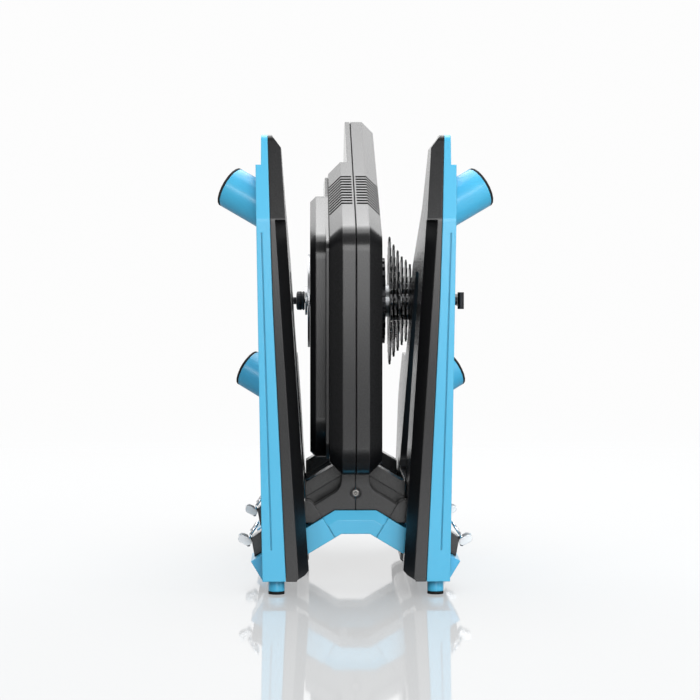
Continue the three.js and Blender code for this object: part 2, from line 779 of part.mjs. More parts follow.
const wheelAt = fit;
const shaftEnd = wheelAt + wheelWidth + fit;
piece(
  trainer,
  "flywheel_shaft",
  turned(
    [
      [-beltOut - fit, 0],
      [-beltOut - fit, smallPulleyRadius],
      [-beltIn + fit, smallPulleyRadius],
      [-beltIn + fit, shaftRadius],
      [shaftEnd, shaftRadius],
      [shaftEnd, 0],
    ],
    wheelDepth,
    wheelHeight,
    24,
  ),
  "steel",
);
const wheelHubRadius = 17;
const wheelRim = 26;
const wheelWeb = 5;
const wheelMiddle = wheelAt + wheelWidth / 2;
piece(
  trainer,
  "flywheel",
  turned(
    [
      [wheelAt, shaftRadius + fit],
      [wheelAt, wheelHubRadius],
      [wheelMiddle - wheelWeb / 2, wheelHubRadius],
      [wheelMiddle - wheelWeb / 2, wheelRadius - wheelRim],
      [wheelAt, wheelRadius - wheelRim],
      [wheelAt, wheelRadius],
      [wheelAt + wheelWidth, wheelRadius],
      [wheelAt + wheelWidth, wheelRadius - wheelRim],
      [wheelMiddle + wheelWeb / 2, wheelRadius - wheelRim],
      [wheelMiddle + wheelWeb / 2, wheelHubRadius],
      [wheelAt + wheelWidth, wheelHubRadius],
      [wheelAt + wheelWidth, shaftRadius + fit],
    ],
    wheelDepth,
    wheelHeight,
    30,
  ),
  "castMetal",
);

// The magnet brake beside the flywheel's rim, on the chassis
const brakeGap = 2.2;
const brakeDepth = 15;
const brakeFrom = -0.25;
const brakeTo = 0.75;
function brakeOutline() {
  const points = [];
  const steps = 8;
  for (let k = 0; k <= steps; k += 1) {
    const angle = brakeFrom + ((brakeTo - brakeFrom) * k) / steps;
    points.push([angle, wheelRadius + brakeGap]);
  }
  for (let k = steps; k >= 0; k -= 1) {
    const angle = brakeFrom + ((brakeTo - brakeFrom) * k) / steps;
    points.push([angle, wheelRadius + brakeGap + brakeDepth]);
  }
  return points.map(
    ([angle, radius]) =>
      new THREE.Vector2(wheelDepth + radius * Math.cos(angle), wheelHeight + radius * Math.sin(angle)),
  ).reverse();
}
piece(
  trainer,
  "magnet_brake",
  acrossX(brakeOutline(), -chassisOut + chassisThick + fit, wheelAt + wheelWidth),
  "copper",
);
piece(
  trainer,
  "circuit_board",
  block(
    boardAt - boardThick,
    boardAt,
    boardDepth,
    boardDepth + boardLength,
    boardHeight,
    boardHeight + boardWidth,
  ),
  "board",
);

// The arches
const archHalf = [
  [0, archTop],
  [archCrownHalf, archTop],
  [legEndTop.x, legEndTop.y],
  [legEndLow.x, legEndLow.y],
  [underCorner.x, underCorner.y],
  [0, archFloor],
];
// A prism of a (depth, up) outline that runs along one leg of the arches, from its crown corner
function alongSlope(points, from, to, side) {
  const geometry = new THREE.ExtrudeGeometry(shapeOf(points, []), { depth: to - from, bevelEnabled: false });
  const depth = new THREE.Vector3(0, 1, 0);
  const up = new THREE.Vector3(side * slopeUp.x, 0, slopeUp.y);
  const along = depth.clone().cross(up);
  geometry.applyMatrix4(new THREE.Matrix4().makeBasis(depth, up, along));
  const start = along.multiplyScalar(side > 0 ? from : -to);
  return solid(geometry.translate(side * archCrownHalf + start.x, 0, archTop + start.z));
}

// The rear face of an arch is bevelled between two parting grooves
const bevelRise = 9;
const bevelDeep = 4.5;
const grooveAt = 13.5;
const grooveWide = 0.9;
const grooveDeep = 1;
function archTrim(at) {
  const past = 1 + overrun / bevelDeep;
  const wedge = (top) => plain([
    [at - overrun, top - bevelRise * past],
    [at + bevelDeep * past, top + overrun * (bevelRise / bevelDeep)],
    [at - overrun, top + overrun * (bevelRise / bevelDeep)],
  ]);
  const groove = plain([
    [at - overrun, overrun],
    [at - overrun, -archThick - overrun],
    [at + grooveDeep, -archThick - overrun],
    [at + grooveDeep, overrun],
  ]);
  return [
    acrossX(wedge(archTop), -archCrownHalf - overrun, archCrownHalf + overrun),
    ...[-1, 1].flatMap((side) => [
      alongSlope(wedge(0), -overrun, grooveAt, side),
      alongSlope(groove, grooveAt - grooveWide, grooveAt, side),
    ]),
  ];
}
function arch(at) {
  const right = archHalf.slice(1, 5);
  const left = right.map(([x, z]) => [-x, z]).reverse();
  const bar = acrossY(plain([...right, ...left]).reverse(), at, at + archDepth);
  const ends = [at - overrun, at + archDepth + overrun];
  const bores = [-1, 1].map((side) =>
    rod(...ends.map((depth) => [side * hinge.x, depth, hinge.y]), hingeBore),
  );
  return cut(bar, ...bores, ...archTrim(at));
}
piece(trainer, "rear_arch", arch(rearArchAt), "bluePaint");
piece(trainer, "front_arch", arch(frontArchAt), "bluePaint");

piece(
  trainer,
  "base_screw",
  join(
    onScrew(0, screwHead - fit, screwHead, 16),
    onScrew(screwHead / 2, screwLength, screwShank, 10),
  ),
  "chrome",
);

// A socket for the power lead, under the front of the body
const socketGrip = 1.4;
const socketDrop = 3;
const socketRod = (from, to, radius, segments) =>
  rod([socketOut, socketDepth, from], [socketOut, socketDepth, to], radius, segments);
const socketLow = bodyFloor - fit - socketDrop;
piece(
  trainer,
  "power_socket",
  cut(
    join(
      socketRod(socketLow, bodyFloor - fit, socketRadius + socketGrip),
      socketRod(socketLow, bodyFloor + socketLong, socketRadius),
    ),
    socketRod(0, bodyFloor + socketLong / 2, socketBore, 12),
  ),
  "blackPlastic",
);

// The folding legs. Their side view has corner radii in mm, and dips clear of the cassette
const legHeight = legTop - legBottom;
const legFootPast = 30;
const legFootEnd = frontArchAt + archDepth + legFootPast;
const legReach = legFootEnd + legPastFoot;
const dipFloor = axleHeight - 56.9;
const dipRear = axleDepth - 57;
const dipFront = axleDepth + 59;
const dipSlope = 6.8;
const tipDrop = 45.2;
const onLegSide = ([u, v, r]) => [u * legReach, legBottom + v * legHeight, r];
const legCorners = [
  ...[[0, 0, 0], [0, 0.809, 12], [0.052, 1, 8], [0.157, 1, 10], [0.3, 0.84, 40]].map(onLegSide),
  [dipRear - dipSlope, legBottom + 0.7 * legHeight, 10],
  [dipRear, dipFloor, 36],
  [dipFront, dipFloor, 14],
  [legReach, dipFloor - tipDrop, 20],
  [legFootEnd - 10, legBottom + 0.21 * legHeight, 14],
  [legFootEnd, legBottom, 8],
];
const windowRear = 0.24 * legReach;
const windowAcross = (share) => windowRear + share * (dipRear - windowRear);
const windowTop = legBottom + 0.69 * legHeight;
const windowLow = legBottom + 0.2 * legHeight;
const windowCorners = [
  [windowRear, windowTop, 12],
  [windowAcross(0.427), windowTop, 12],
  [windowAcross(0.954), windowLow, 12],
  [windowRear, windowLow, 12],
];
const windowFrame = 5;

// The section across the leg, as [X, height]: where the cover meets the frame, and both outer faces
const sectionTop = legTop + 3 * overrun;
const legSplit = [[65.2, 0], [65.2, 14], [77, legTop - 160], [82, legTop], [82, sectionTop]];
const frameFace = [[88.3, sectionTop], [88.3, legTop - 28], [93.3, legTop - 28], [88.5, 90], [87, 0]];
const coverSide = [
  [78, sectionTop],
  [78, legTop - 1],
  [69.8, legTop - 12],
  [44.2, 19.5],
  [47.8, 15.8],
  [54.7, 12.6],
  [60, 0],
];
const shifted = (points, by) => points.map(([u, v]) => [u + by, v]);
const frameSection = (wall) =>
  plain([...shifted(legSplit, wall ? -overrun : fit), ...shifted(frameFace, -wall)]);
const coverSection = (wall) =>
  plain([...shifted(legSplit, wall ? overrun : 0), ...shifted(coverSide, wall)].reverse());

const frameNotchTop = archTop - 20.7;
const coverNotchTop = archTop + 13.8;
const latchWidth = 25;
const latchPocketTop = archTop - 1.7;
const latchPocketFrom = 60;
const latchPocketPlay = 5;
const outerReach = 140;
const arches = [["rear", rearArchAt], ["front", frontArchAt]];
const legDepths = [-overrun, legReach + overrun];
const legFrom = coverSide[3][0] - overrun;

// Room for an arch, and above it for the latch that swings through as the leg folds out
function notches(top, wall) {
  return arches.map(([, at]) =>
    block(0, outerReach, at - notchPlay - wall, at + archDepth + notchPlay + wall, -overrun, top + wall),
  );
}
function latchPockets(wall) {
  return arches.map(([, at]) => {
    const middle = at + archDepth / 2;
    const half = latchWidth / 2 + latchPocketPlay + wall;
    return block(latchPocketFrom, outerReach, middle - half, middle + half, 0, latchPocketTop + wall);
  });
}

// The chamfer along the cover's rear edge, which leans with the cover's inner face
const coverBevel = 9.9;
const coverBevelDeep = 14;
const coverBevelTop = legCorners[1][1];
function bevelCut(setBack) {
  const geometry = new THREE.ExtrudeGeometry(
    new THREE.Shape(plain([
      [coverBevel, 0],
      [-overrun, 0],
      [-overrun, 1],
    ].map(([u, v]) => [u, v * (coverBevelDeep * (1 + overrun / coverBevel))]))),
    { depth: coverBevelTop, bevelEnabled: false },
  );
  const [highX, highZ] = coverSide[2];
  const [lowX, lowZ] = coverSide[3];
  const lean = (highX - lowX) / (highZ - lowZ);
  const shear = new THREE.Matrix4().makeShear(0, 0, 0, 0, lean, 0);
  geometry.applyMatrix4(shear).translate(lowX - lean * lowZ, setBack, 0);
  return join(
    solid(geometry),
    block(0, outerReach, -overrun, setBack, 0, legTop + overrun),
  );
}

const legOutline = rounded(legCorners, 3);
const windowOutline = rounded(windowCorners, 3);
const windowWall = rounded(inset(windowCorners, -windowFrame), 3);
function legBlank(section) {
  return acrossX(legOutline, legFrom, outerReach, [windowOutline]).intersect(
    acrossY(section, ...legDepths),
  );
}
function legHollow(section, wall, notchTop) {
  const room = acrossX(rounded(inset(legCorners, wall), 3), legFrom, outerReach, [windowWall]);
  return cut(
    room.intersect(acrossY(section, ...legDepths)),
    ...notches(notchTop, wall),
    ...latchPockets(wall),
  );
}

const pinAt = (at, reach) => [
  [hinge.x, at - reach[0], hinge.y],
  [hinge.x, at + archDepth + reach[1], hinge.y],
];
const pinReach = { rear: [rearArchAt - frameWall, 22], front: [22, 24] };
const pinHoles = arches.map(([name, at]) =>
  rod(...pinAt(at, pinReach[name].map((reach) => reach + fit)), pinRadius + fit, 12),
);

// Foot tubes point at the ground once the leg is folded out
const unfolded = ([out, , height]) =>
  (height - hinge.y) * Math.cos(foldAngle) - (out - hinge.x) * Math.sin(foldAngle);
const footPitch = Math.atan2(unfolded(frontFoot) - unfolded(rearFoot), frontFoot[1] - rearFoot[1]);
const footRise = foldAngle - Math.PI / 2;
const footAxis = new THREE.Vector3(
  Math.cos(footPitch) * Math.cos(footRise),
  Math.sin(footPitch),
  Math.cos(footPitch) * Math.sin(footRise),
);
const footLength = 48;
const footBore = 16;
const footSegments = 20;
function footTube(foot) {
  const end = new THREE.Vector3(...foot);
  const start = end.clone().addScaledVector(footAxis, -footLength);
  return rod(start.toArray(), end.toArray(), footRadius, footSegments);
}
function footHole(foot) {
  const end = new THREE.Vector3(...foot);
  const start = end.clone().addScaledVector(footAxis, -footBore);
  const past = end.clone().addScaledVector(footAxis, overrun);
  return rod(start.toArray(), past.toArray(), footRadius - footWall, footSegments);
}
const feet = [["rear", rearFoot], ["front", frontFoot]];
const stubDepths = { rear: rearArchAt / 2, front: frontArchAt + archDepth + 14 };
const outerFace = [[outerReach, sectionTop], [outerReach, 0]];
const outside = acrossY(plain([...shifted(legSplit, fit), ...outerFace]), ...legDepths);

// A fine groove down the frame's rear face
const creaseWide = 1.2;
const creaseDeep = 1;
const creaseTop = coverBevelTop - 2 * overrun;
const creaseSpots = [[78.4, frameNotchTop - 2 * overrun], [87, creaseTop]];
const crease = acrossY(
  plain([...creaseSpots, ...shifted(creaseSpots, creaseWide).reverse()].reverse()),
  -overrun,
  creaseDeep,
);

pair(
  "leg_frame",
  cut(
    join(
      cut(legBlank(frameSection(0)), legHollow(frameSection(frameWall), frameWall, latchPocketTop)),
      ...feet.map(([, foot]) => footTube(foot).intersect(outside)),
      ...Object.values(stubDepths).map((depth) =>
        rod([stubOut, depth, stubTip + fit - padDrop], [stubOut, depth, legBottom + frameWall], stubRadius),
      ),
    ),
    ...notches(frameNotchTop, 0),
    ...latchPockets(0),
    ...pinHoles,
    ...feet.map(([, foot]) => footHole(foot)),
    crease,
  ),
  "bluePaint",
);

pair(
  "leg_cover",
  cut(
    legBlank(coverSection(0)),
    cut(legHollow(coverSection(coverWall), coverWall, coverNotchTop), bevelCut(coverWall * 2)),
    bevelCut(0),
    ...notches(coverNotchTop, 0),
    ...latchPockets(0),
  ),
  "blackPlastic",
);

const capCrown = 1.6;
const capPlug = 9;
for (const [name, foot] of feet) {
  pair(
    name + "_foot_cap",
    turnedOn(
      [
        [-capPlug, 0],
        [-capPlug, footRadius - footWall - fit],
        [fit, footRadius - footWall - fit],
        [fit, footRadius],
        [footCapThick - capCrown, footRadius],
        [footCapThick, footRadius * 0.8],
        [footCapThick, 0],
      ],
      new THREE.Vector3(...foot),
      footAxis,
      footSegments,
    ),
    "rubber",
  );
}
for (const [name, depth] of Object.entries(stubDepths)) {
  pair(
    name + "_rest_pad",
    rod([stubOut, depth, -padDrop], [stubOut, depth, stubTip - padDrop], stubRadius),
    "rubber",
  );
}
for (const [name, at] of arches) {
  pair(name + "_hinge_pin", rod(...pinAt(at, pinReach[name]), pinRadius, 12), "steel");
}

// The latch on the end of each arch: a block, its lever, and a bail that hooks on to the leg
const latchIn = 88.6;
const latchSeatOut = 95.4;
const latchOut = 98.3;
const latchTop = archTop - 20.5;
const latchLow = archTop - 36.3;
const latchLever = [
  [98.7, 1.1],
  [99.6, 0],
  [101.6, 0],
  [102.5, 0.9],
  [111.5, 8.6],
  [110.3, 11.1],
  [102.6, 5.8],
  [102.6, 11.5],
  [101.5, 12.2],
  [99.6, 12.2],
  [98.7, 11.4],
].map(([out, up]) => [out, latchLow + up]);
const leverWidth = 20;
const leverPin = [100.6, latchLow + 10.1];
const bailRadius = 1.5;
const bailHalf = 14.2;
const bailTop = [93, latchLow + 22.1];
const alongLeg = (x) => (x - archCrownHalf) / Math.cos(archSlope);
for (const [name, at] of arches) {
  const middle = at + archDepth / 2;
  const seat = [latchIn, latchSeatOut].map((x) => onLeg(alongLeg(x), fit));
  pair(
    name + "_latch_block",
    acrossY(
      plain([
        [seat[0].x, seat[0].y],
        [seat[1].x, seat[1].y],
        [latchOut, latchLow + 6],
        [latchOut, latchLow + 9],
        [latchIn, latchTop],
      ]),
      middle - latchWidth / 2,
      middle + latchWidth / 2,
    ),
    "blackPlastic",
  );
  pair(
    name + "_latch_lever",
    join(
      acrossY(plain(latchLever), middle - leverWidth / 2, middle + leverWidth / 2),
      rod(
        [leverPin[0], middle - bailHalf - bailRadius, leverPin[1]],
        [leverPin[0], middle + bailHalf + bailRadius, leverPin[1]],
        bailRadius,
        8,
      ),
    ),
    "chrome",
  );
  const arm = (side, from, to) => [
    [from[0], middle + side * bailHalf, from[1]],
    [to[0], middle + side * bailHalf, to[1]],
  ];
  const toTop = new THREE.Vector2(bailTop[0] - leverPin[0], bailTop[1] - leverPin[1]).normalize();
  const clear = bailRadius + fit;
  const armFoot = [leverPin[0] + toTop.x * clear, leverPin[1] + toTop.y * clear];
  pair(
    name + "_bail",
    join(
      rod(...arm(-1, armFoot, bailTop), bailRadius, 8),
      rod(...arm(1, armFoot, bailTop), bailRadius, 8),
      rod(
        [bailTop[0], middle - bailHalf - bailRadius, bailTop[1]],
        [bailTop[0], middle + bailHalf + bailRadius, bailTop[1]],
        bailRadius,
        8,
      ),
    ),
    "chrome",
  );
}

// The cassette on its one-way body
const circle = (radius, count) =>
  Array.from({ length: count }, (_, i) => {
    const angle = (2 * Math.PI * i) / count;
    return new THREE.Vector2(axleDepth + radius * Math.cos(angle), axleHeight + radius * Math.sin(angle));
  });
piece(
  trainer,
  "freehub_body",
  ring(freehubStart, freehubEnd, axleRadius + fit, freehubRadius, axleDepth, axleHeight, 22),
  "steel",
);

const toothTip = 2.6;
const toothRoot = 3.6;
const toothValley = [0.33, 0.67];
function cogOutline(teeth) {
  const pitchRadius = chainPitch / (2 * Math.sin(Math.PI / teeth));
  const step = (2 * Math.PI) / teeth;
  const points = [];
  for (let i = 0; i < teeth; i += 1) {
    for (const [share, radius] of [
      [0, pitchRadius + toothTip],
      [toothValley[0], pitchRadius - toothRoot],
      [toothValley[1], pitchRadius - toothRoot],
    ]) {
      const angle = (i + share) * step;
      points.push(
        new THREE.Vector2(axleDepth + radius * Math.cos(angle), axleHeight + radius * Math.sin(angle)),
      );
    }
  }
  return points;
}
const spacerRadius = 20.5;
const cogBore = freehubRadius + fit;
const cogAt = (i) => cogStart + cogStep * i;
function cogs(first, last) {
  const discs = [];
  for (let i = first; i <= last; i += 1) {
    discs.push(acrossX(cogOutline(cogTeeth[i]), cogAt(i), cogAt(i) + cogThick));
  }
  const end = last < cogTeeth.length - 1 ? cogAt(last + 1) - fit : cogAt(last) + cogThick;
  const radius = last < cogTeeth.length - 1 ? spacerRadius : cogBore + fit;
  return cut(
    join(...discs, acrossX(circle(radius, 22), cogAt(first), end)),
    acrossX(circle(cogBore, 22), cogAt(first) - overrun, cogAt(last + 1) + overrun),
  );
}
const windowCount = 5;
const cogWindowRadius = 9;
const cogWindowAt = 36;
const largeWindows = circle(cogWindowAt, windowCount).map(({ x, y }) =>
  rod([cogStart - overrun, x, y], [cogAt(3) - overrun / 2, x, y], cogWindowRadius, 6),
);
piece(trainer, "large_cogs", cut(cogs(0, 2), ...largeWindows), "steel");
piece(trainer, "middle_cogs", cogs(3, 6), "steel");
for (const i of [7, 8, 9]) {
  piece(trainer, "cog_" + cogTeeth[i], cogs(i, i), "steel");
}
piece(
  trainer,
  "lockring",
  ring(
    freehubEnd + fit,
    freehubEnd + fit + lockringWidth,
    endCapRadius + fit,
    freehubRadius,
    axleDepth,
    axleHeight,
    22,
  ),
  "blackMetal",
);
const sensorRadius = 45;
const sensorSlots = 24;
const sensorTooth = 5;
function sensorOutline() {
  const points = [];
  for (let i = 0; i < sensorSlots; i += 1) {
    for (const [share, radius] of [
      [0, sensorRadius],
      [0.5, sensorRadius],
      [0.5, sensorRadius - sensorTooth],
      [1, sensorRadius - sensorTooth],
    ]) {
      const angle = ((i + share) * 2 * Math.PI) / sensorSlots;
      points.push(
        new THREE.Vector2(axleDepth + radius * Math.cos(angle), axleHeight + radius * Math.sin(angle)),
      );
    }
  }
  return points;
}
piece(
  trainer,
  "sensor_ring",
  acrossX(sensorOutline(), sensorStart, sensorStart + sensorWidth, [circle(cogBore, 22)]),
  "blackMetal",
);

// The quick release skewer
const rodRadius = 2.5;
const nutWidth = 9.1;
const nutRadius = 9.9;
const nutEnd = 3.9;
const nutEndRadius = 3.8;
const headWidth = 9;
const headRadius = 10.5;
const neckRadius = 4.5;
const neckEnd = 112.2;
const camAt = 116;
const camRadius = 3.4;
const camHeight = 17.7;
const leverLong = 51;
const leverHeight = 12;
const nutAt = -axleLeft - fit;
const headAt = axleRight + fit;
piece(
  trainer,
  "skewer_rod",
  join(
    onAxle(nutAt - nutWidth, headAt + fit, rodRadius, 16),
    onAxle(headAt, headAt + headWidth, headRadius),
    onAxle(headAt, neckEnd, neckRadius, 16),
  ),
  "blackMetal",
);
piece(
  trainer,
  "skewer_nut",
  cut(
    join(
      onAxle(nutAt - nutWidth, nutAt, nutRadius),
      onAxle(nutAt - nutWidth - nutEnd, nutAt, nutEndRadius),
    ),
    onAxle(nutAt - nutWidth - fit, nutAt + overrun, rodRadius + fit, 16),
  ),
  "blackMetal",
);
piece(
  trainer,
  "skewer_lever",
  join(
    rod(...[-1, 1].map((end) => [camAt, axleDepth, axleHeight + (end * camHeight) / 2]), camRadius),
    block(
      camAt - camRadius + fit,
      camAt + camRadius - fit,
      axleDepth,
      axleDepth + leverLong,
      axleHeight - leverHeight / 2,
      axleHeight + leverHeight / 2,
    ),
  ),
  "blackMetal",
);

trainer.position.set(0, -(bodyRear + bodyFront) / 2, padDrop);

export default trainer;
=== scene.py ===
import json
import math

import bmesh
import bpy
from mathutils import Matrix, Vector


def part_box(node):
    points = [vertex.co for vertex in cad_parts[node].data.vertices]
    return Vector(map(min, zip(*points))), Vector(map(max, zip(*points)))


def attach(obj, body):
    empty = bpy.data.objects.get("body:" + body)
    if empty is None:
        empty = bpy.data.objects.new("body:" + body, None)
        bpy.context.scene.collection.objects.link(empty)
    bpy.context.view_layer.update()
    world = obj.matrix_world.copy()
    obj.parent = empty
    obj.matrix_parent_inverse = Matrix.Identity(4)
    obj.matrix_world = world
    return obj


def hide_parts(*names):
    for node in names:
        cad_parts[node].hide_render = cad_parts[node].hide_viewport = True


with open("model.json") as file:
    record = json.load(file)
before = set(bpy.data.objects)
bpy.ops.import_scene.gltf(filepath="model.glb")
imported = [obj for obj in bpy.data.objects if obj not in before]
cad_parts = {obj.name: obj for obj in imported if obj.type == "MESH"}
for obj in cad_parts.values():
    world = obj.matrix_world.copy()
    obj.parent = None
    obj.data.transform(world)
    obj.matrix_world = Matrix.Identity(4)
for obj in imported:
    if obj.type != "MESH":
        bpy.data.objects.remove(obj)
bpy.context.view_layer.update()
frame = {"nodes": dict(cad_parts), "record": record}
nodes = frame["nodes"]
print("frame loaded:", len(nodes), "nodes")


def placeObject(name, data):
    placed = bpy.data.objects.new(name, data)
    bpy.context.scene.collection.objects.link(placed)
    return placed


# The camera stands behind the folded trainer, a little left of the middle and a little above it

cameraSetup = {
    "place": (-0.041, -2.6035, 0.3325),
    "pitchDown": 2.576,  # degrees
    "turnRight": 0.875,  # degrees
    "lens": 128.0,
    "sensor": 36.0,
}


def makeCamera(setup):
    lensData = bpy.data.cameras.new("viewCamera")
    lensData.lens = setup["lens"]
    lensData.sensor_width = setup["sensor"]
    lensData.dof.use_dof = False
    cameraObject = placeObject("viewCamera", lensData)
    cameraObject.location = setup["place"]
    cameraObject.rotation_euler = (
        math.radians(90.0 - setup["pitchDown"]), 0.0, -math.radians(setup["turnRight"]))
    bpy.context.scene.camera = cameraObject


makeCamera(cameraSetup)
print("camera placed")


# Shader groups

groupSetup = {
    "noiseMiddle": 0.5,
    "grainDetail": 2.0,
    "grainRelief": 0.0004,
    "toneScale": 9.0,
    "toneDetail": 3.0,
    "wornAndLitPatchScale": 60.0,
    "creviceSamples": 6,
    "markDetail": 3.0,
    "markRelief": 0.0003,
    "edgeSamples": 4,
}


def newGroup(name, inputs, outputs):
    group = bpy.data.node_groups.new(name, "ShaderNodeTree")
    for socketName, socketType, value in inputs:
        socket = group.interface.new_socket(socketName, in_out="INPUT", socket_type=socketType)
        if value is not None:
            socket.default_value = value
    for socketName, socketType in outputs:
        group.interface.new_socket(socketName, in_out="OUTPUT", socket_type=socketType)
    start = group.nodes.new("NodeGroupInput")
    end = group.nodes.new("NodeGroupOutput")
    return group, start, end


def addNode(tree, kind, **settings):
    node = tree.nodes.new(kind)
    for key, value in settings.items():
        setattr(node, key, value)
    return node


def makeGrainGroup(setup):
    # moulded or sprayed grain: fine bumps with speckles, and a slight change of tone
    group, start, end = newGroup("surfaceGrain", [
        ("Grain Size", "NodeSocketFloat", 900.0),
        ("Bump Depth", "NodeSocketFloat", 0.2),
        ("Tone Shift", "NodeSocketFloat", 0.08),
        ("Speckle Amount", "NodeSocketFloat", 0.0),
        ("Rounded Normal", "NodeSocketVector", None),
    ], [("Tone", "NodeSocketFloat"), ("Speckle", "NodeSocketFloat"), ("Normal", "NodeSocketVector")])
    place = addNode(group, "ShaderNodeTexCoord")
    fine = addNode(group, "ShaderNodeTexNoise")
    fine.inputs["Detail"].default_value = setup["grainDetail"]
    broad = addNode(group, "ShaderNodeTexNoise")
    broad.inputs["Scale"].default_value = setup["toneScale"]
    broad.inputs["Detail"].default_value = setup["toneDetail"]
    bump = addNode(group, "ShaderNodeBump")
    bump.inputs["Distance"].default_value = setup["grainRelief"]
    link = group.links.new
    link(place.outputs["Object"], fine.inputs["Vector"])
    link(place.outputs["Object"], broad.inputs["Vector"])
    link(start.outputs["Grain Size"], fine.inputs["Scale"])
    link(fine.outputs["Fac"], bump.inputs["Height"])
    link(start.outputs["Bump Depth"], bump.inputs["Strength"])
    link(start.outputs["Rounded Normal"], bump.inputs["Normal"])
    link(bump.outputs["Normal"], end.inputs["Normal"])
    for noise, amount, result in ((fine, "Speckle Amount", "Speckle"), (broad, "Tone Shift", "Tone")):
        # the noise swings about 1, by the amount asked for
        centred = addNode(group, "ShaderNodeMath", operation="SUBTRACT")
        centred.inputs[1].default_value = setup["noiseMiddle"]
        swung = addNode(group, "ShaderNodeMath", operation="MULTIPLY_ADD")
        swung.inputs[2].default_value = 1.0
        link(noise.outputs["Fac"], centred.inputs[0])
        link(centred.outputs[0], swung.inputs[0])
        link(start.outputs[amount], swung.inputs[1])
        link(swung.outputs[0], end.inputs[result])
    return group


def makeEdgeGroup(setup):
    # where the rounded edges turn away from the flat faces: a painted edge highlight, partly also wear where
    # handling has rubbed them
    group, start, end = newGroup("wornAndHighlitEdges", [
        ("Rounded Normal", "NodeSocketVector", None),
        ("Sharpness", "NodeSocketFloat", 9.0),
        ("Amount", "NodeSocketFloat", 0.4),
    ], [("Mask", "NodeSocketFloat")])
    shape = addNode(group, "ShaderNodeNewGeometry")
    place = addNode(group, "ShaderNodeTexCoord")
    patches = addNode(group, "ShaderNodeTexNoise")
    patches.inputs["Scale"].default_value = setup["wornAndLitPatchScale"]
    agree = addNode(group, "ShaderNodeVectorMath", operation="DOT_PRODUCT")
    differ = addNode(group, "ShaderNodeMath", operation="SUBTRACT")
    differ.inputs[0].default_value = 1.0
    steep = addNode(group, "ShaderNodeMath", operation="MULTIPLY", use_clamp=True)
    broken = addNode(group, "ShaderNodeMath", operation="MULTIPLY")
    scaled = addNode(group, "ShaderNodeMath", operation="MULTIPLY")
    link = group.links.new
    link(place.outputs["Object"], patches.inputs["Vector"])
    link(start.outputs["Rounded Normal"], agree.inputs[0])
    link(shape.outputs["Normal"], agree.inputs[1])
    link(agree.outputs["Value"], differ.inputs[1])
    link(differ.outputs[0], steep.inputs[0])
    link(start.outputs["Sharpness"], steep.inputs[1])
    link(steep.outputs[0], broken.inputs[0])
    link(patches.outputs["Fac"], broken.inputs[1])
    link(broken.outputs[0], scaled.inputs[0])
    link(start.outputs["Amount"], scaled.inputs[1])
    link(scaled.outputs[0], end.inputs["Mask"])
    return group


def makeCreviceGroup(setup):
    # painted shade: darker deep in grooves, slots and corners, in colour and in shine
    group, start, end = newGroup("creviceShade", [
        ("Reach", "NodeSocketFloat", 0.008),
        ("Contrast", "NodeSocketFloat", 1.6),
    ], [("Openness", "NodeSocketFloat")])
    around = addNode(group, "ShaderNodeAmbientOcclusion", samples=setup["creviceSamples"])
    power = addNode(group, "ShaderNodeMath", operation="POWER")
    link = group.links.new
    link(start.outputs["Reach"], around.inputs["Distance"])
    link(around.outputs["AO"], power.inputs[0])
    link(start.outputs["Contrast"], power.inputs[1])
    link(power.outputs[0], end.inputs["Openness"])
    return group


def makeBrushGroup(setup):
    # turning or brushing marks, drawn out by the stretch
    group, start, end = newGroup("toolMarks", [
        ("Stretch", "NodeSocketVector", (1.0, 1.0, 1.0)),
        ("Mark Size", "NodeSocketFloat", 600.0),
        ("Bump Depth", "NodeSocketFloat", 0.15),
        ("Roughness", "NodeSocketFloat", 0.3),
        ("Spread", "NodeSocketFloat", 0.12),
        ("Rounded Normal", "NodeSocketVector", None),
    ], [("Roughness", "NodeSocketFloat"), ("Normal", "NodeSocketVector")])
    place = addNode(group, "ShaderNodeTexCoord")
    stretch = addNode(group, "ShaderNodeVectorMath", operation="MULTIPLY")
    marks = addNode(group, "ShaderNodeTexNoise")
    marks.inputs["Detail"].default_value = setup["markDetail"]
    bump = addNode(group, "ShaderNodeBump")
    bump.inputs["Distance"].default_value = setup["markRelief"]
    rough = addNode(group, "ShaderNodeMath", operation="MULTIPLY_ADD")
    link = group.links.new
    link(place.outputs["Object"], stretch.inputs[0])
    link(start.outputs["Stretch"], stretch.inputs[1])
    link(stretch.outputs[0], marks.inputs["Vector"])
    link(start.outputs["Mark Size"], marks.inputs["Scale"])
    link(marks.outputs["Fac"], bump.inputs["Height"])
    link(start.outputs["Bump Depth"], bump.inputs["Strength"])
    link(start.outputs["Rounded Normal"], bump.inputs["Normal"])
    link(marks.outputs["Fac"], rough.inputs[0])
    link(start.outputs["Spread"], rough.inputs[1])
    link(start.outputs["Roughness"], rough.inputs[2])
    link(rough.outputs[0], end.inputs["Roughness"])
    link(bump.outputs["Normal"], end.inputs["Normal"])
    return group


shaderGroups = {
    "grain": makeGrainGroup(groupSetup),
    "edges": makeEdgeGroup(groupSetup),
    "paintedCreviceShade": makeCreviceGroup(groupSetup),
    "brush": makeBrushGroup(groupSetup),
}
print("shader groups made")


# Materials

coatedDefaults = {
    "metallic": 0.0, "coat": 0.0, "coatRoughness": 0.2, "specular": 0.5, "speckle": 0.0,
    "creviceShadeContrast": 1.0, "creviceShadeReach": 0.008, "edgeRadius": 0.0005,
}
metalDefaults = {"metallic": 1.0, "edgeRadius": 0.0005}


def newMaterial(name):
    material = bpy.data.materials.new(name)
    material.use_nodes = True
    tree = material.node_tree
    return material, tree, tree.nodes["Principled BSDF"]


def placeGroup(tree, group, values):
    node = tree.nodes.new("ShaderNodeGroup")
    node.node_tree = group
    for key, value in values.items():
        node.inputs[key].default_value = value
    return node


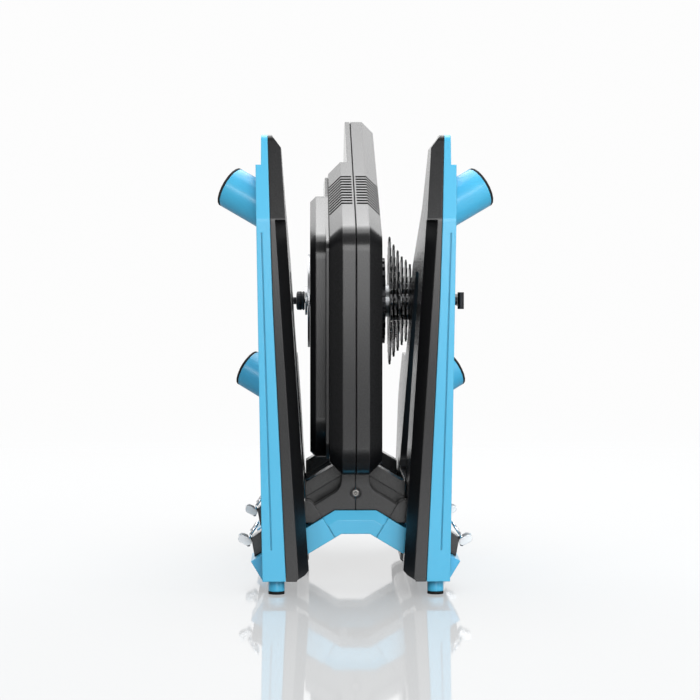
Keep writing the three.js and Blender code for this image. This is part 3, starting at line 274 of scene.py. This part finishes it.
def roundEdges(tree, shader, look, *users):
    # every edge is softened, and the groups build on that normal
    rounded = addNode(tree, "ShaderNodeBevel", samples=groupSetup["edgeSamples"])
    rounded.inputs["Radius"].default_value = look["edgeRadius"]
    for user in users:
        tree.links.new(rounded.outputs["Normal"], user.inputs["Rounded Normal"])
    tree.links.new(rounded.outputs["Normal"], shader.inputs["Coat Normal"])


def edgeWearAndHighlightColor(tree, shader, look, edges):
    # the lighter edge colour is partly wear where the edges are rubbed and partly a painted edge highlight
    wornAndHighlit = addNode(tree, "ShaderNodeMix", data_type="RGBA")
    wornAndHighlit.inputs["B"].default_value = (*look["wornAndHighlightColor"], 1.0)
    tree.links.new(edges.outputs["Mask"], wornAndHighlit.inputs["Factor"])
    tree.links.new(wornAndHighlit.outputs["Result"], shader.inputs["Base Color"])
    return wornAndHighlit


def coatedMaterial(name, ownLook):
    # paint or plastic: a toned base colour with painted shade in crevices, lighter edges that are partly
    # rubbed wear and partly painted highlight, and a moulded or sprayed grain
    look = {**coatedDefaults, **ownLook}
    material, tree, shader = newMaterial(name)
    shader.inputs["Metallic"].default_value = look["metallic"]
    shader.inputs["Coat Roughness"].default_value = look["coatRoughness"]
    shader.inputs["Coat Weight"].default_value = look["coat"]
    grain = placeGroup(tree, shaderGroups["grain"], {
        "Grain Size": look["grainSize"], "Bump Depth": look["grainDepth"],
        "Tone Shift": look["toneShift"], "Speckle Amount": look["speckle"]})
    edges = placeGroup(tree, shaderGroups["edges"], {"Amount": look["wearAndHighlight"]})
    paintedCreviceShade = placeGroup(tree, shaderGroups["paintedCreviceShade"], {
        "Reach": look["creviceShadeReach"], "Contrast": look["creviceShadeContrast"]})
    roundEdges(tree, shader, look, grain, edges)
    wornAndHighlit = edgeWearAndHighlightColor(tree, shader, look, edges)
    shaded = addNode(tree, "ShaderNodeMath", operation="MULTIPLY")
    toned = addNode(tree, "ShaderNodeMix", data_type="RGBA", blend_type="MULTIPLY")
    toned.inputs["Factor"].default_value = 1.0
    toned.inputs["A"].default_value = (*look["color"], 1.0)
    sparkle = addNode(tree, "ShaderNodeMath", operation="MULTIPLY")
    sparkle.inputs[1].default_value = look["specular"]
    shine = addNode(tree, "ShaderNodeMath", operation="MULTIPLY")
    rough = addNode(tree, "ShaderNodeMath", operation="MULTIPLY_ADD")
    rough.inputs[1].default_value = look["roughnessSpread"]
    rough.inputs[2].default_value = look["roughness"] - look["roughnessSpread"]
    link = tree.links.new
    # painted shade: the tone and the shine are darkened deep in crevices
    link(grain.outputs["Tone"], shaded.inputs[0])
    link(paintedCreviceShade.outputs["Openness"], shaded.inputs[1])
    link(shaded.outputs[0], toned.inputs["B"])
    link(toned.outputs["Result"], wornAndHighlit.inputs["A"])
    link(grain.outputs["Speckle"], sparkle.inputs[0])
    link(paintedCreviceShade.outputs["Openness"], shine.inputs[0])
    link(sparkle.outputs[0], shine.inputs[1])
    link(shine.outputs[0], shader.inputs["Specular IOR Level"])
    link(grain.outputs["Tone"], rough.inputs[0])
    link(rough.outputs[0], shader.inputs["Roughness"])
    link(grain.outputs["Normal"], shader.inputs["Normal"])
    return material


def metalMaterial(name, ownLook):
    # bare or plated metal with tool marks, and lighter edges that are partly wear and partly painted
    # highlight
    look = {**metalDefaults, **ownLook}
    material, tree, shader = newMaterial(name)
    shader.inputs["Metallic"].default_value = look["metallic"]
    marks = placeGroup(tree, shaderGroups["brush"], {
        "Stretch": look["stretch"], "Mark Size": look["markSize"], "Bump Depth": look["markDepth"],
        "Roughness": look["roughness"], "Spread": look["spread"]})
    edges = placeGroup(tree, shaderGroups["edges"], {"Amount": look["wearAndHighlight"]})
    roundEdges(tree, shader, look, marks, edges)
    wornAndHighlit = edgeWearAndHighlightColor(tree, shader, look, edges)
    wornAndHighlit.inputs["A"].default_value = (*look["color"], 1.0)
    tree.links.new(marks.outputs["Roughness"], shader.inputs["Roughness"])
    tree.links.new(marks.outputs["Normal"], shader.inputs["Normal"])
    return material


coatedLooks = {
    "bluePowderCoat": {
        "color": (0.072, 0.53, 0.84), "wornAndHighlightColor": (0.32, 0.80, 1.0), "wearAndHighlight": 0.35, "roughness": 0.40,
        "roughnessSpread": 0.1, "grainSize": 700.0, "grainDepth": 0.1, "toneShift": 0.06,
        "coat": 0.45, "edgeRadius": 0.0014, "creviceShadeContrast": 0.25,
    },
    "blackGrainedPlastic": {
        "color": (0.005, 0.0052, 0.006), "wornAndHighlightColor": (0.09, 0.09, 0.095), "wearAndHighlight": 0.5, "roughness": 0.44,
        "roughnessSpread": 0.1, "grainSize": 850.0, "grainDepth": 0.3, "toneShift": 0.2, "speckle": 1.6,
        "specular": 0.2, "coat": 0.9, "edgeRadius": 0.0013, "creviceShadeContrast": 2.2, "creviceShadeReach": 0.011,
    },
    "paleZinc": {
        "color": (0.80, 0.81, 0.82), "wornAndHighlightColor": (0.95, 0.95, 0.95), "wearAndHighlight": 0.2, "roughness": 0.25,
        "roughnessSpread": 0.08, "grainSize": 300.0, "grainDepth": 0.03, "toneShift": 0.05, "metallic": 0.35,
    },
    "blackRubber": {
        "color": (0.012, 0.012, 0.013), "wornAndHighlightColor": (0.06, 0.06, 0.06), "wearAndHighlight": 0.4, "roughness": 0.8,
        "roughnessSpread": 0.1, "grainSize": 500.0, "grainDepth": 0.3, "toneShift": 0.3,
    },
    "boardLaminate": {
        "color": (0.02, 0.16, 0.07), "wornAndHighlightColor": (0.2, 0.3, 0.2), "wearAndHighlight": 0.1, "roughness": 0.45,
        "roughnessSpread": 0.1, "grainSize": 300.0, "grainDepth": 0.1, "toneShift": 0.2,
    },
}
metalLooks = {
    "turnedSteel": {
        "color": (0.55, 0.56, 0.58), "wornAndHighlightColor": (0.75, 0.76, 0.78), "wearAndHighlight": 0.3, "roughness": 0.26,
        "spread": 0.14, "stretch": (6.0, 0.6, 0.6), "markSize": 500.0, "markDepth": 0.15,
    },
    # on the cogs the pale edge colour is mostly a painted glint on the teeth, partly wear
    "darkCogSteel": {
        "color": (0.05, 0.05, 0.052), "wornAndHighlightColor": (0.85, 0.85, 0.85), "wearAndHighlight": 1.0, "roughness": 0.16,
        "spread": 0.16, "stretch": (1.0, 1.0, 1.0), "markSize": 350.0, "markDepth": 0.12,
    },
    "darkScrewSteel": {
        "color": (0.30, 0.29, 0.28), "wornAndHighlightColor": (0.6, 0.6, 0.6), "wearAndHighlight": 0.3, "roughness": 0.3,
        "spread": 0.1, "stretch": (1.0, 1.0, 1.0), "markSize": 400.0, "markDepth": 0.05,
    },
    "brightChrome": {
        "color": (0.86, 0.87, 0.89), "wornAndHighlightColor": (0.95, 0.95, 0.96), "wearAndHighlight": 0.2, "roughness": 0.05,
        "spread": 0.06, "stretch": (1.0, 1.0, 1.0), "markSize": 120.0, "markDepth": 0.03,
    },
    "blackAnodised": {
        "color": (0.025, 0.025, 0.028), "wornAndHighlightColor": (0.4, 0.4, 0.42), "wearAndHighlight": 0.35, "roughness": 0.3,
        "spread": 0.1, "stretch": (4.0, 1.0, 1.0), "markSize": 300.0, "markDepth": 0.08, "metallic": 0.7,
    },
    "castIron": {
        "color": (0.17, 0.17, 0.18), "wornAndHighlightColor": (0.4, 0.4, 0.4), "wearAndHighlight": 0.4, "roughness": 0.5,
        "spread": 0.2, "stretch": (1.0, 1.0, 1.0), "markSize": 260.0, "markDepth": 0.5,
    },
    "castAlloy": {
        "color": (0.42, 0.43, 0.45), "wornAndHighlightColor": (0.6, 0.6, 0.62), "wearAndHighlight": 0.3, "roughness": 0.42,
        "spread": 0.2, "stretch": (1.0, 1.0, 1.0), "markSize": 320.0, "markDepth": 0.4,
    },
    "copperWinding": {
        "color": (0.55, 0.24, 0.11), "wornAndHighlightColor": (0.8, 0.5, 0.3), "wearAndHighlight": 0.3, "roughness": 0.3,
        "spread": 0.15, "stretch": (8.0, 1.0, 1.0), "markSize": 400.0, "markDepth": 0.5,
    },
}
materials = {name: coatedMaterial(name, look) for name, look in coatedLooks.items()}
materials.update({name: metalMaterial(name, look) for name, look in metalLooks.items()})
print("materials made:", len(materials))


# The carried-over nodes

slotMaterials = {
    "blue": "bluePowderCoat", "black_plastic": "blackGrainedPlastic", "steel": "turnedSteel",
    "cog_steel": "darkCogSteel", "chrome": "brightChrome", "black_metal": "blackAnodised",
    "cast_metal": "castIron", "cast_alloy": "castAlloy", "rubber": "blackRubber", "board": "boardLaminate",
    "copper": "copperWinding",
}
slotNames = {part["node"]: part["material_slot"] for part in frame["record"]["subparts"]}
nodeShading = {
    "weldWithin": 0.00002,
    "flatBelow": 0.6,  # degrees between faces that are one flat face
    "smoothBelow": 26.0,  # degrees between faces that shade as one surface
    "flatWeight": 90,
}


def dressNode(name, setup):
    node = nodes[name]
    node.data.materials.clear()
    node.data.materials.append(materials[slotMaterials[slotNames[name]]])
    node.data.polygons.foreach_set("use_smooth", [True] * len(node.data.polygons))
    weld = node.modifiers.new("joinedEdges", "WELD")
    weld.merge_threshold = setup["weldWithin"]
    flats = node.modifiers.new("wholeFaces", "DECIMATE")
    flats.decimate_type = "DISSOLVE"
    flats.angle_limit = math.radians(setup["flatBelow"])
    split = node.modifiers.new("sharpEdges", "EDGE_SPLIT")
    split.split_angle = math.radians(setup["smoothBelow"])
    weighted = node.modifiers.new("flatFaces", "WEIGHTED_NORMAL")
    weighted.mode = "FACE_AREA"
    weighted.weight = setup["flatWeight"]


for nodeName in nodes:
    dressNode(nodeName, nodeShading)
print("nodes dressed")


# Smooth pieces that take the place of faceted ones

def makePiece(name, points, faces, materialName, rideOn, replaced=None, smooth=True):
    mesh = bpy.data.meshes.new(name)
    mesh.from_pydata(points, [], faces)
    mesh.polygons.foreach_set("use_smooth", [smooth] * len(mesh.polygons))
    mesh.materials.append(materials[materialName])
    piece = placeObject(name, mesh)
    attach(piece, rideOn)
    if replaced:
        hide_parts(replaced)
    return piece


def loftRings(rings, closedEnds=True):
    # faces between rings of as many points each
    count = len(rings[0])
    points = [point for ring in rings for point in ring]
    faces = []
    for row in range(len(rings) - 1):
        for i in range(count):
            following = (i + 1) % count
            faces.append((row * count + i, row * count + following,
                          (row + 1) * count + following, (row + 1) * count + i))
    if closedEnds:
        faces.append(tuple(reversed(range(count))))
        faces.append(tuple(range((len(rings) - 1) * count, len(rings) * count)))
    return points, faces


def tubeAlong(path, radius, sides=14):
    # a round bar along a path of points
    rings = []
    for i, point in enumerate(path):
        ahead = path[min(i + 1, len(path) - 1)] - path[max(i - 1, 0)]
        turn = ahead.to_track_quat("Z", "Y")
        rings.append([point + turn @ Vector((radius * math.cos(a), radius * math.sin(a), 0.0))
                      for a in (2.0 * math.pi * k / sides for k in range(sides))])
    return loftRings(rings)


def roundedPath(corners, radius, steps=6):
    # a path through corners, each rounded by an arc-like curve
    path = [corners[0]]
    for before, corner, after in zip(corners, corners[1:], corners[2:]):
        start = corner + (before - corner).normalized() * radius
        end = corner + (after - corner).normalized() * radius
        for k in range(steps + 1):
            t = k / steps
            path.append(start.lerp(corner, t).lerp(corner.lerp(end, t), t))
    path.append(corners[-1])
    return path


# Latches

latchLook = {
    "wire": 0.0014,  # half the thickness of the bail's wire
    "bend": 0.006,
    "sheet": 0.0012,
    "sheetHalf": 0.0098,
    "sheetSoft": 0.0003,
    "sheetCurl": 0.0026,
    "endRound": 0.0055,
    "pinInset": 0.0019,
    "pinDrop": 0.0021,
    "pinChamfer": 0.0004,
    "cheekRound": 0.0036,
    "cheekSteps": 12,
}
# places in the lever's box, outward and upward
sheetShares = ((0.15, 0.96), (0.12, 0.08), (0.30, 0.06), (0.62, 0.50), (0.95, 0.88))
cheekShares = ((0.26, 0.40), (0.70, 0.62))


def latchBox(name):
    # corners of the node's box, its side of the trainer, and its inner and outer ends across
    low, high = (Vector(corner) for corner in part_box(name))
    side = -1.0 if name.startswith("left") else 1.0
    inner, outer = sorted((low.x, high.x), key=abs)
    return low, high, side, inner, outer


def makeBail(name, look):
    low, high, side, inner, outer = latchBox(name)
    wire = look["wire"]
    topX, footX = inner + side * wire, outer - side * wire
    near, far = low.y + wire, high.y - wire
    corners = [
        Vector((footX, near, low.z + wire)), Vector((topX, near, high.z - wire)),
        Vector((topX, far, high.z - wire)), Vector((footX, far, low.z + wire)),
    ]
    points, faces = tubeAlong(roundedPath(corners, look["bend"]), wire)
    makePiece(name + "Wire", points, faces, "brightChrome", name, name)


def makeLeverSheet(name, look, corners, middle):
    # a bent sheet that curls round the pin and narrows to a round end
    spine = roundedPath(corners, look["sheetCurl"])
    lengths = [0.0]
    for before, after in zip(spine, spine[1:]):
        lengths.append(lengths[-1] + (after - before).length)
    endRound = look["endRound"]
    rings = []
    for i, point in enumerate(spine):
        ahead = (spine[min(i + 1, len(spine) - 1)] - spine[max(i - 1, 0)]).normalized()
        flat = Vector((ahead.z, 0.0, -ahead.x)) * (look["sheet"] / 2.0)
        left = min(lengths[-1] - lengths[i], endRound)
        inset = endRound - math.sqrt(max(endRound ** 2 - (endRound - left) ** 2, 0.0))
        wide = look["sheetHalf"] - inset
        rings.append([Vector((point.x, middle + y, point.z)) + flat * sign
                      for y, sign in ((-wide, 1.0), (wide, 1.0), (wide, -1.0), (-wide, -1.0))])
    points, faces = loftRings(rings)
    piece = makePiece(name + "Sheet", points, faces, "paleZinc", name, name)
    rounding = piece.modifiers.new("softEdges", "BEVEL")
    rounding.width = look["sheetSoft"]
    rounding.segments = 2
    rounding.limit_method = "ANGLE"
    rounding.harden_normals = True


def makeLeverCheeks(name, look, start, end, middle):
    # two cheeks with round ends, from the pin out to the grip
    ahead = (end - start).normalized()
    beside = Vector((-ahead.z, 0.0, ahead.x))
    steps = look["cheekSteps"]
    outline = []
    for centre, firstHalfTurn in ((end, -0.5), (start, 0.5)):
        for k in range(steps + 1):
            angle = (firstHalfTurn + k / steps) * math.pi
            outline.append(centre + (ahead * math.cos(angle) + beside * math.sin(angle)) * look["cheekRound"])
    thick = look["sheet"] * 0.5
    for cheek, at in (("Rear", -look["sheetHalf"]), ("Front", look["sheetHalf"])):
        rings = [[point + Vector((0.0, middle + at + d, 0.0)) for point in outline] for d in (-thick, thick)]
        points, faces = loftRings(rings)
        makePiece(f"{name}Cheek{cheek}", points, faces, "paleZinc", name, smooth=False)


def makeLever(name, look):
    low, high, side, inner, outer = latchBox(name)
    middle = (low.y + high.y) / 2.0

    def placeAt(shares):
        outward, upward = shares
        return Vector((inner + outward * (outer - inner), 0.0, low.z + upward * (high.z - low.z)))

    makeLeverSheet(name, look, [placeAt(shares) for shares in sheetShares], middle)
    chamfer, long = look["pinChamfer"], high.y - low.y
    pin = [Vector((inner + side * look["pinInset"], low.y + along, high.z - look["pinDrop"]))
           for along in (0.0, chamfer, long - chamfer, long)]
    points, faces = tubeAlong(pin, look["wire"])
    makePiece(name + "Pin", points, faces, "brightChrome", name)
    makeLeverCheeks(name, look, *[placeAt(shares) for shares in cheekShares], middle)


for sideName in ("left", "right"):
    for endName in ("rear", "front"):
        makeBail(f"{sideName}_{endName}_bail", latchLook)
        makeLever(f"{sideName}_{endName}_latch_lever", latchLook)
print("latches made")


# Turned pieces

def turnedRings(profile, centre, axis, segments, shapeAt):
    # rings of a turned form about the X or Y axis, from (along, radius, shaped) steps
    rings = []
    for along, radius, shaped in profile:
        ring = []
        for k in range(segments):
            angle = 2.0 * math.pi * k / segments
            reach = radius * shapeAt(angle) if shaped else radius
            u, v = reach * math.cos(angle), reach * math.sin(angle)
            ring.append(centre + (Vector((along, u, v)) if axis == "X" else Vector((u, along, v))))
        rings.append(ring)
    return rings


screwLook = {
    "socket": 0.0017,
    "socketDeep": 0.0018,
    "socketLip": 0.0002,
    "tip": 0.00002,  # the socket's floor closes to this radius
    "dome": 0.0012,
    "headDeep": 0.0031,
    "headStep": 0.0001,
    "segments": 48,
}
screwShares = {"lip": 1.2, "domeStart": 1.3, "shank": 0.55}
domeAngles = (0.3, 0.7, 1.1, 1.4, math.pi / 2.0)


def hexagonShape(angle):
    return math.cos(math.pi / 6.0) / math.cos((angle % (math.pi / 3.0)) - math.pi / 6.0)


def makeScrew(name, look, shares):
    # a domed screw with a hexagon socket, about the Y axis
    low, high = (Vector(corner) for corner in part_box(name))
    centre = Vector(((low.x + high.x) / 2.0, low.y, (low.z + high.z) / 2.0))
    head = (high.x - low.x) / 2.0
    dome, socket, deep, headDeep = look["dome"], look["socket"], look["socketDeep"], look["headDeep"]
    domeStart, shank = socket * shares["domeStart"], head * shares["shank"]
    profile = [(deep, look["tip"], False), (deep, socket, True), (look["socketLip"], socket, True),
               (0.0, socket * shares["lip"], True)]
    profile += [(dome * (1.0 - math.cos(t)), domeStart + (head - domeStart) * math.sin(t), False)
                for t in domeAngles]
    profile += [(headDeep, head, False), (headDeep + look["headStep"], shank, False),
                (high.y - low.y, shank, False)]
    points, faces = loftRings(turnedRings(profile, centre, "Y", look["segments"], hexagonShape))
    makePiece("stemScrew", points, faces, "darkScrewSteel", "base", name)


makeScrew("base_screw", screwLook, screwShares)

nutLook = {
    "ridges": 26,
    "ridgeDepth": 0.04,
    "segments": 156,
    "chamfer": 0.0008,
    "bore": 0.0029,
    "noseRadius": 0.0038,
    "noseChamfer": 0.0004,
    "noseLong": 0.0039,
    "faceFrom": 0.0062,  # radius where the inner face starts
    "faceStep": 0.0001,
    "faceRise": 0.0005,
    "rimTaper": 0.0002,
    # along the nut, from its nose: the inner band ends, the groove starts and ends, the outer band starts
    "stops": (0.0056, 0.0060, 0.0066, 0.0070),
    "weldWithin": 0.00001,
}


def makeNut(name, look):
    # a thumb nut with two ribbed bands and a groove between them, about the X axis
    low, high = (Vector(corner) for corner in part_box(name))
    centre = Vector((0.0, (low.y + high.y) / 2.0, (low.z + high.z) / 2.0))
    rim, chamfer, noseRadius = (high.z - low.z) / 2.0, look["chamfer"], look["noseRadius"]
    noseChamfer, faceRise = look["noseChamfer"], look["faceRise"]
    innerEnd, grooveStart, grooveEnd, outerStart = look["stops"]
    nose = low.x + look["noseLong"]

    def ribbedShape(angle):
        return 1.0 - look["ridgeDepth"] * (0.5 + 0.5 * math.cos(look["ridges"] * angle))

    profile = [
        (low.x, look["bore"], False), (low.x, noseRadius - noseChamfer, False),
        (low.x + noseChamfer, noseRadius, False), (nose, noseRadius, False),
        (nose + look["faceStep"], look["faceFrom"], False), (nose + faceRise, rim - 2.0 * chamfer, False),
        (nose + chamfer + faceRise, rim - look["rimTaper"], True), (nose + innerEnd, rim, True),
        (nose + grooveStart, rim - chamfer, False), (nose + grooveEnd, rim - chamfer, False),
        (nose + outerStart, rim, True), (high.x - chamfer, rim, True), (high.x, rim - chamfer, True),
        (high.x, look["bore"], False),
    ]
    rings = turnedRings(profile, centre, "X", look["segments"], ribbedShape)
    rings.append(rings[0])
    points, faces = loftRings(rings, False)
    piece = makePiece("thumbNut", points, faces, "blackAnodised", "skewer_nut", name)
    weld = piece.modifiers.new("joinedEnds", "WELD")
    weld.merge_threshold = look["weldWithin"]


makeNut("skewer_nut", nutLook)
print("screw and nut made")


# Floor, backdrop and light

plainWhite = (1.0, 1.0, 1.0, 1.0)
stageSetup = {
    "floorHalf": 6.0,
    "floorColor": (0.55, 0.565, 0.575),
    "floorShade": (0.20, 0.205, 0.21),  # what the object sees of the floor
    "floorRoughness": 0.045,
    "floorIor": 1.5,
    "fadeFrom": 0.75,  # metres from the middle, where the floor starts to fade into the backdrop
    "fadeTo": 2.6,
    "backdrop": 0.98,
    "floorGlow": 0.35,  # how much of the floor near the object is seen as plain backdrop
    "nearWorld": 0.3,  # light from the camera's side
    "farWorld": 1.2,  # light from beyond the object
    "farFrom": 0.75,  # how far a direction points away from the camera before that light is full
}


def makeFloorMaterial(setup):
    material, tree, shader = newMaterial("paleGlossFloor")
    shader.inputs["Roughness"].default_value = setup["floorRoughness"]
    shader.inputs["IOR"].default_value = setup["floorIor"]
    path = addNode(tree, "ShaderNodeLightPath")
    tone = addNode(tree, "ShaderNodeMix", data_type="RGBA")
    tone.inputs["A"].default_value = (*setup["floorShade"], 1.0)
    tone.inputs["B"].default_value = (*setup["floorColor"], 1.0)
    glow = addNode(tree, "ShaderNodeEmission")
    glow.inputs["Color"].default_value = plainWhite
    glow.inputs["Strength"].default_value = setup["backdrop"]
    place = addNode(tree, "ShaderNodeNewGeometry")
    away = addNode(tree, "ShaderNodeVectorMath", operation="LENGTH")
    fade = addNode(tree, "ShaderNodeMapRange", interpolation_type="SMOOTHSTEP")
    fade.inputs["From Min"].default_value = setup["fadeFrom"]
    fade.inputs["From Max"].default_value = setup["fadeTo"]
    fade.inputs["To Min"].default_value = setup["floorGlow"]
    seen = addNode(tree, "ShaderNodeMath", operation="MULTIPLY")
    mixed = addNode(tree, "ShaderNodeMixShader")
    link = tree.links.new
    link(path.outputs["Is Camera Ray"], tone.inputs["Factor"])
    link(tone.outputs["Result"], shader.inputs["Base Color"])
    link(place.outputs["Position"], away.inputs[0])
    link(away.outputs["Value"], fade.inputs["Value"])
    link(fade.outputs["Result"], seen.inputs[0])
    link(path.outputs["Is Camera Ray"], seen.inputs[1])
    link(seen.outputs[0], mixed.inputs["Fac"])
    link(shader.outputs["BSDF"], mixed.inputs[1])
    link(glow.outputs["Emission"], mixed.inputs[2])
    link(mixed.outputs["Shader"], tree.nodes["Material Output"].inputs["Surface"])
    return material


def makeFloor(setup):
    mesh = bpy.data.meshes.new("studioFloor")
    shape = bmesh.new()
    bmesh.ops.create_grid(shape, x_segments=1, y_segments=1, size=setup["floorHalf"])
    shape.to_mesh(mesh)
    shape.free()
    mesh.materials.append(makeFloorMaterial(setup))
    floor = placeObject("studioFloor", mesh)


def makeWorld(setup):
    # brighter beyond the object than behind the camera, and plain white to the camera
    world = bpy.data.worlds.new("paleStudio")
    world.use_nodes = True
    tree = world.node_tree
    lit = tree.nodes["Background"]
    lit.inputs["Color"].default_value = plainWhite
    seen = addNode(tree, "ShaderNodeBackground")
    seen.inputs["Color"].default_value = plainWhite
    seen.inputs["Strength"].default_value = setup["backdrop"]
    path = addNode(tree, "ShaderNodeLightPath")
    way = addNode(tree, "ShaderNodeTexCoord")
    parts = addNode(tree, "ShaderNodeSeparateXYZ")
    ramp = addNode(tree, "ShaderNodeMapRange", interpolation_type="SMOOTHSTEP")
    ramp.inputs["From Min"].default_value = 0.0
    ramp.inputs["From Max"].default_value = setup["farFrom"]
    ramp.inputs["To Min"].default_value = setup["nearWorld"]
    ramp.inputs["To Max"].default_value = setup["farWorld"]
    mixed = addNode(tree, "ShaderNodeMixShader")
    link = tree.links.new
    link(way.outputs["Generated"], parts.inputs[0])
    link(parts.outputs["Y"], ramp.inputs["Value"])
    link(ramp.outputs["Result"], lit.inputs["Strength"])
    link(path.outputs["Is Camera Ray"], mixed.inputs["Fac"])
    link(lit.outputs["Background"], mixed.inputs[1])
    link(seen.outputs["Background"], mixed.inputs[2])
    link(mixed.outputs["Shader"], tree.nodes["World Output"].inputs["Surface"])
    bpy.context.scene.world = world


softBoxes = {
    "overhead": {"place": (0.0, 0.5, 1.9), "aim": (0.0, 0.0, 0.2), "size": (2.2, 2.2), "power": 38.0},
    "cameraSide": {"place": (0.5, -3.2, 1.0), "aim": (0.0, 0.0, 0.25), "size": (1.6, 1.6), "power": 39.0},
    "rearLeft": {"place": (-1.75, -2.85, 1.25), "aim": (0.0, 0.0, 0.3), "size": (0.7, 0.9), "power": 15.0},
    "rearRight": {"place": (1.75, -2.85, 1.25), "aim": (0.0, 0.0, 0.3), "size": (0.7, 0.9), "power": 15.0},
    "rightSide": {"place": (2.2, -1.2, 0.8), "aim": (0.0, 0.0, 0.25), "size": (0.9, 1.4), "power": 12.0},
}


def makeSoftBox(name, setup):
    lamp = bpy.data.lights.new(name, "AREA")
    lamp.shape = "RECTANGLE"
    lamp.size, lamp.size_y = setup["size"]
    lamp.energy = setup["power"]
    holder = placeObject(name, lamp)
    holder.location = setup["place"]
    aim = Vector(setup["aim"]) - Vector(setup["place"])
    holder.rotation_euler = aim.to_track_quat("-Z", "Y").to_euler()


makeFloor(stageSetup)
makeWorld(stageSetup)
for boxName, boxSetup in softBoxes.items():
    makeSoftBox(boxName, boxSetup)
bpy.context.scene.view_settings.view_transform = "Standard"
print("floor, backdrop and light made")


# Done

print("scene built")
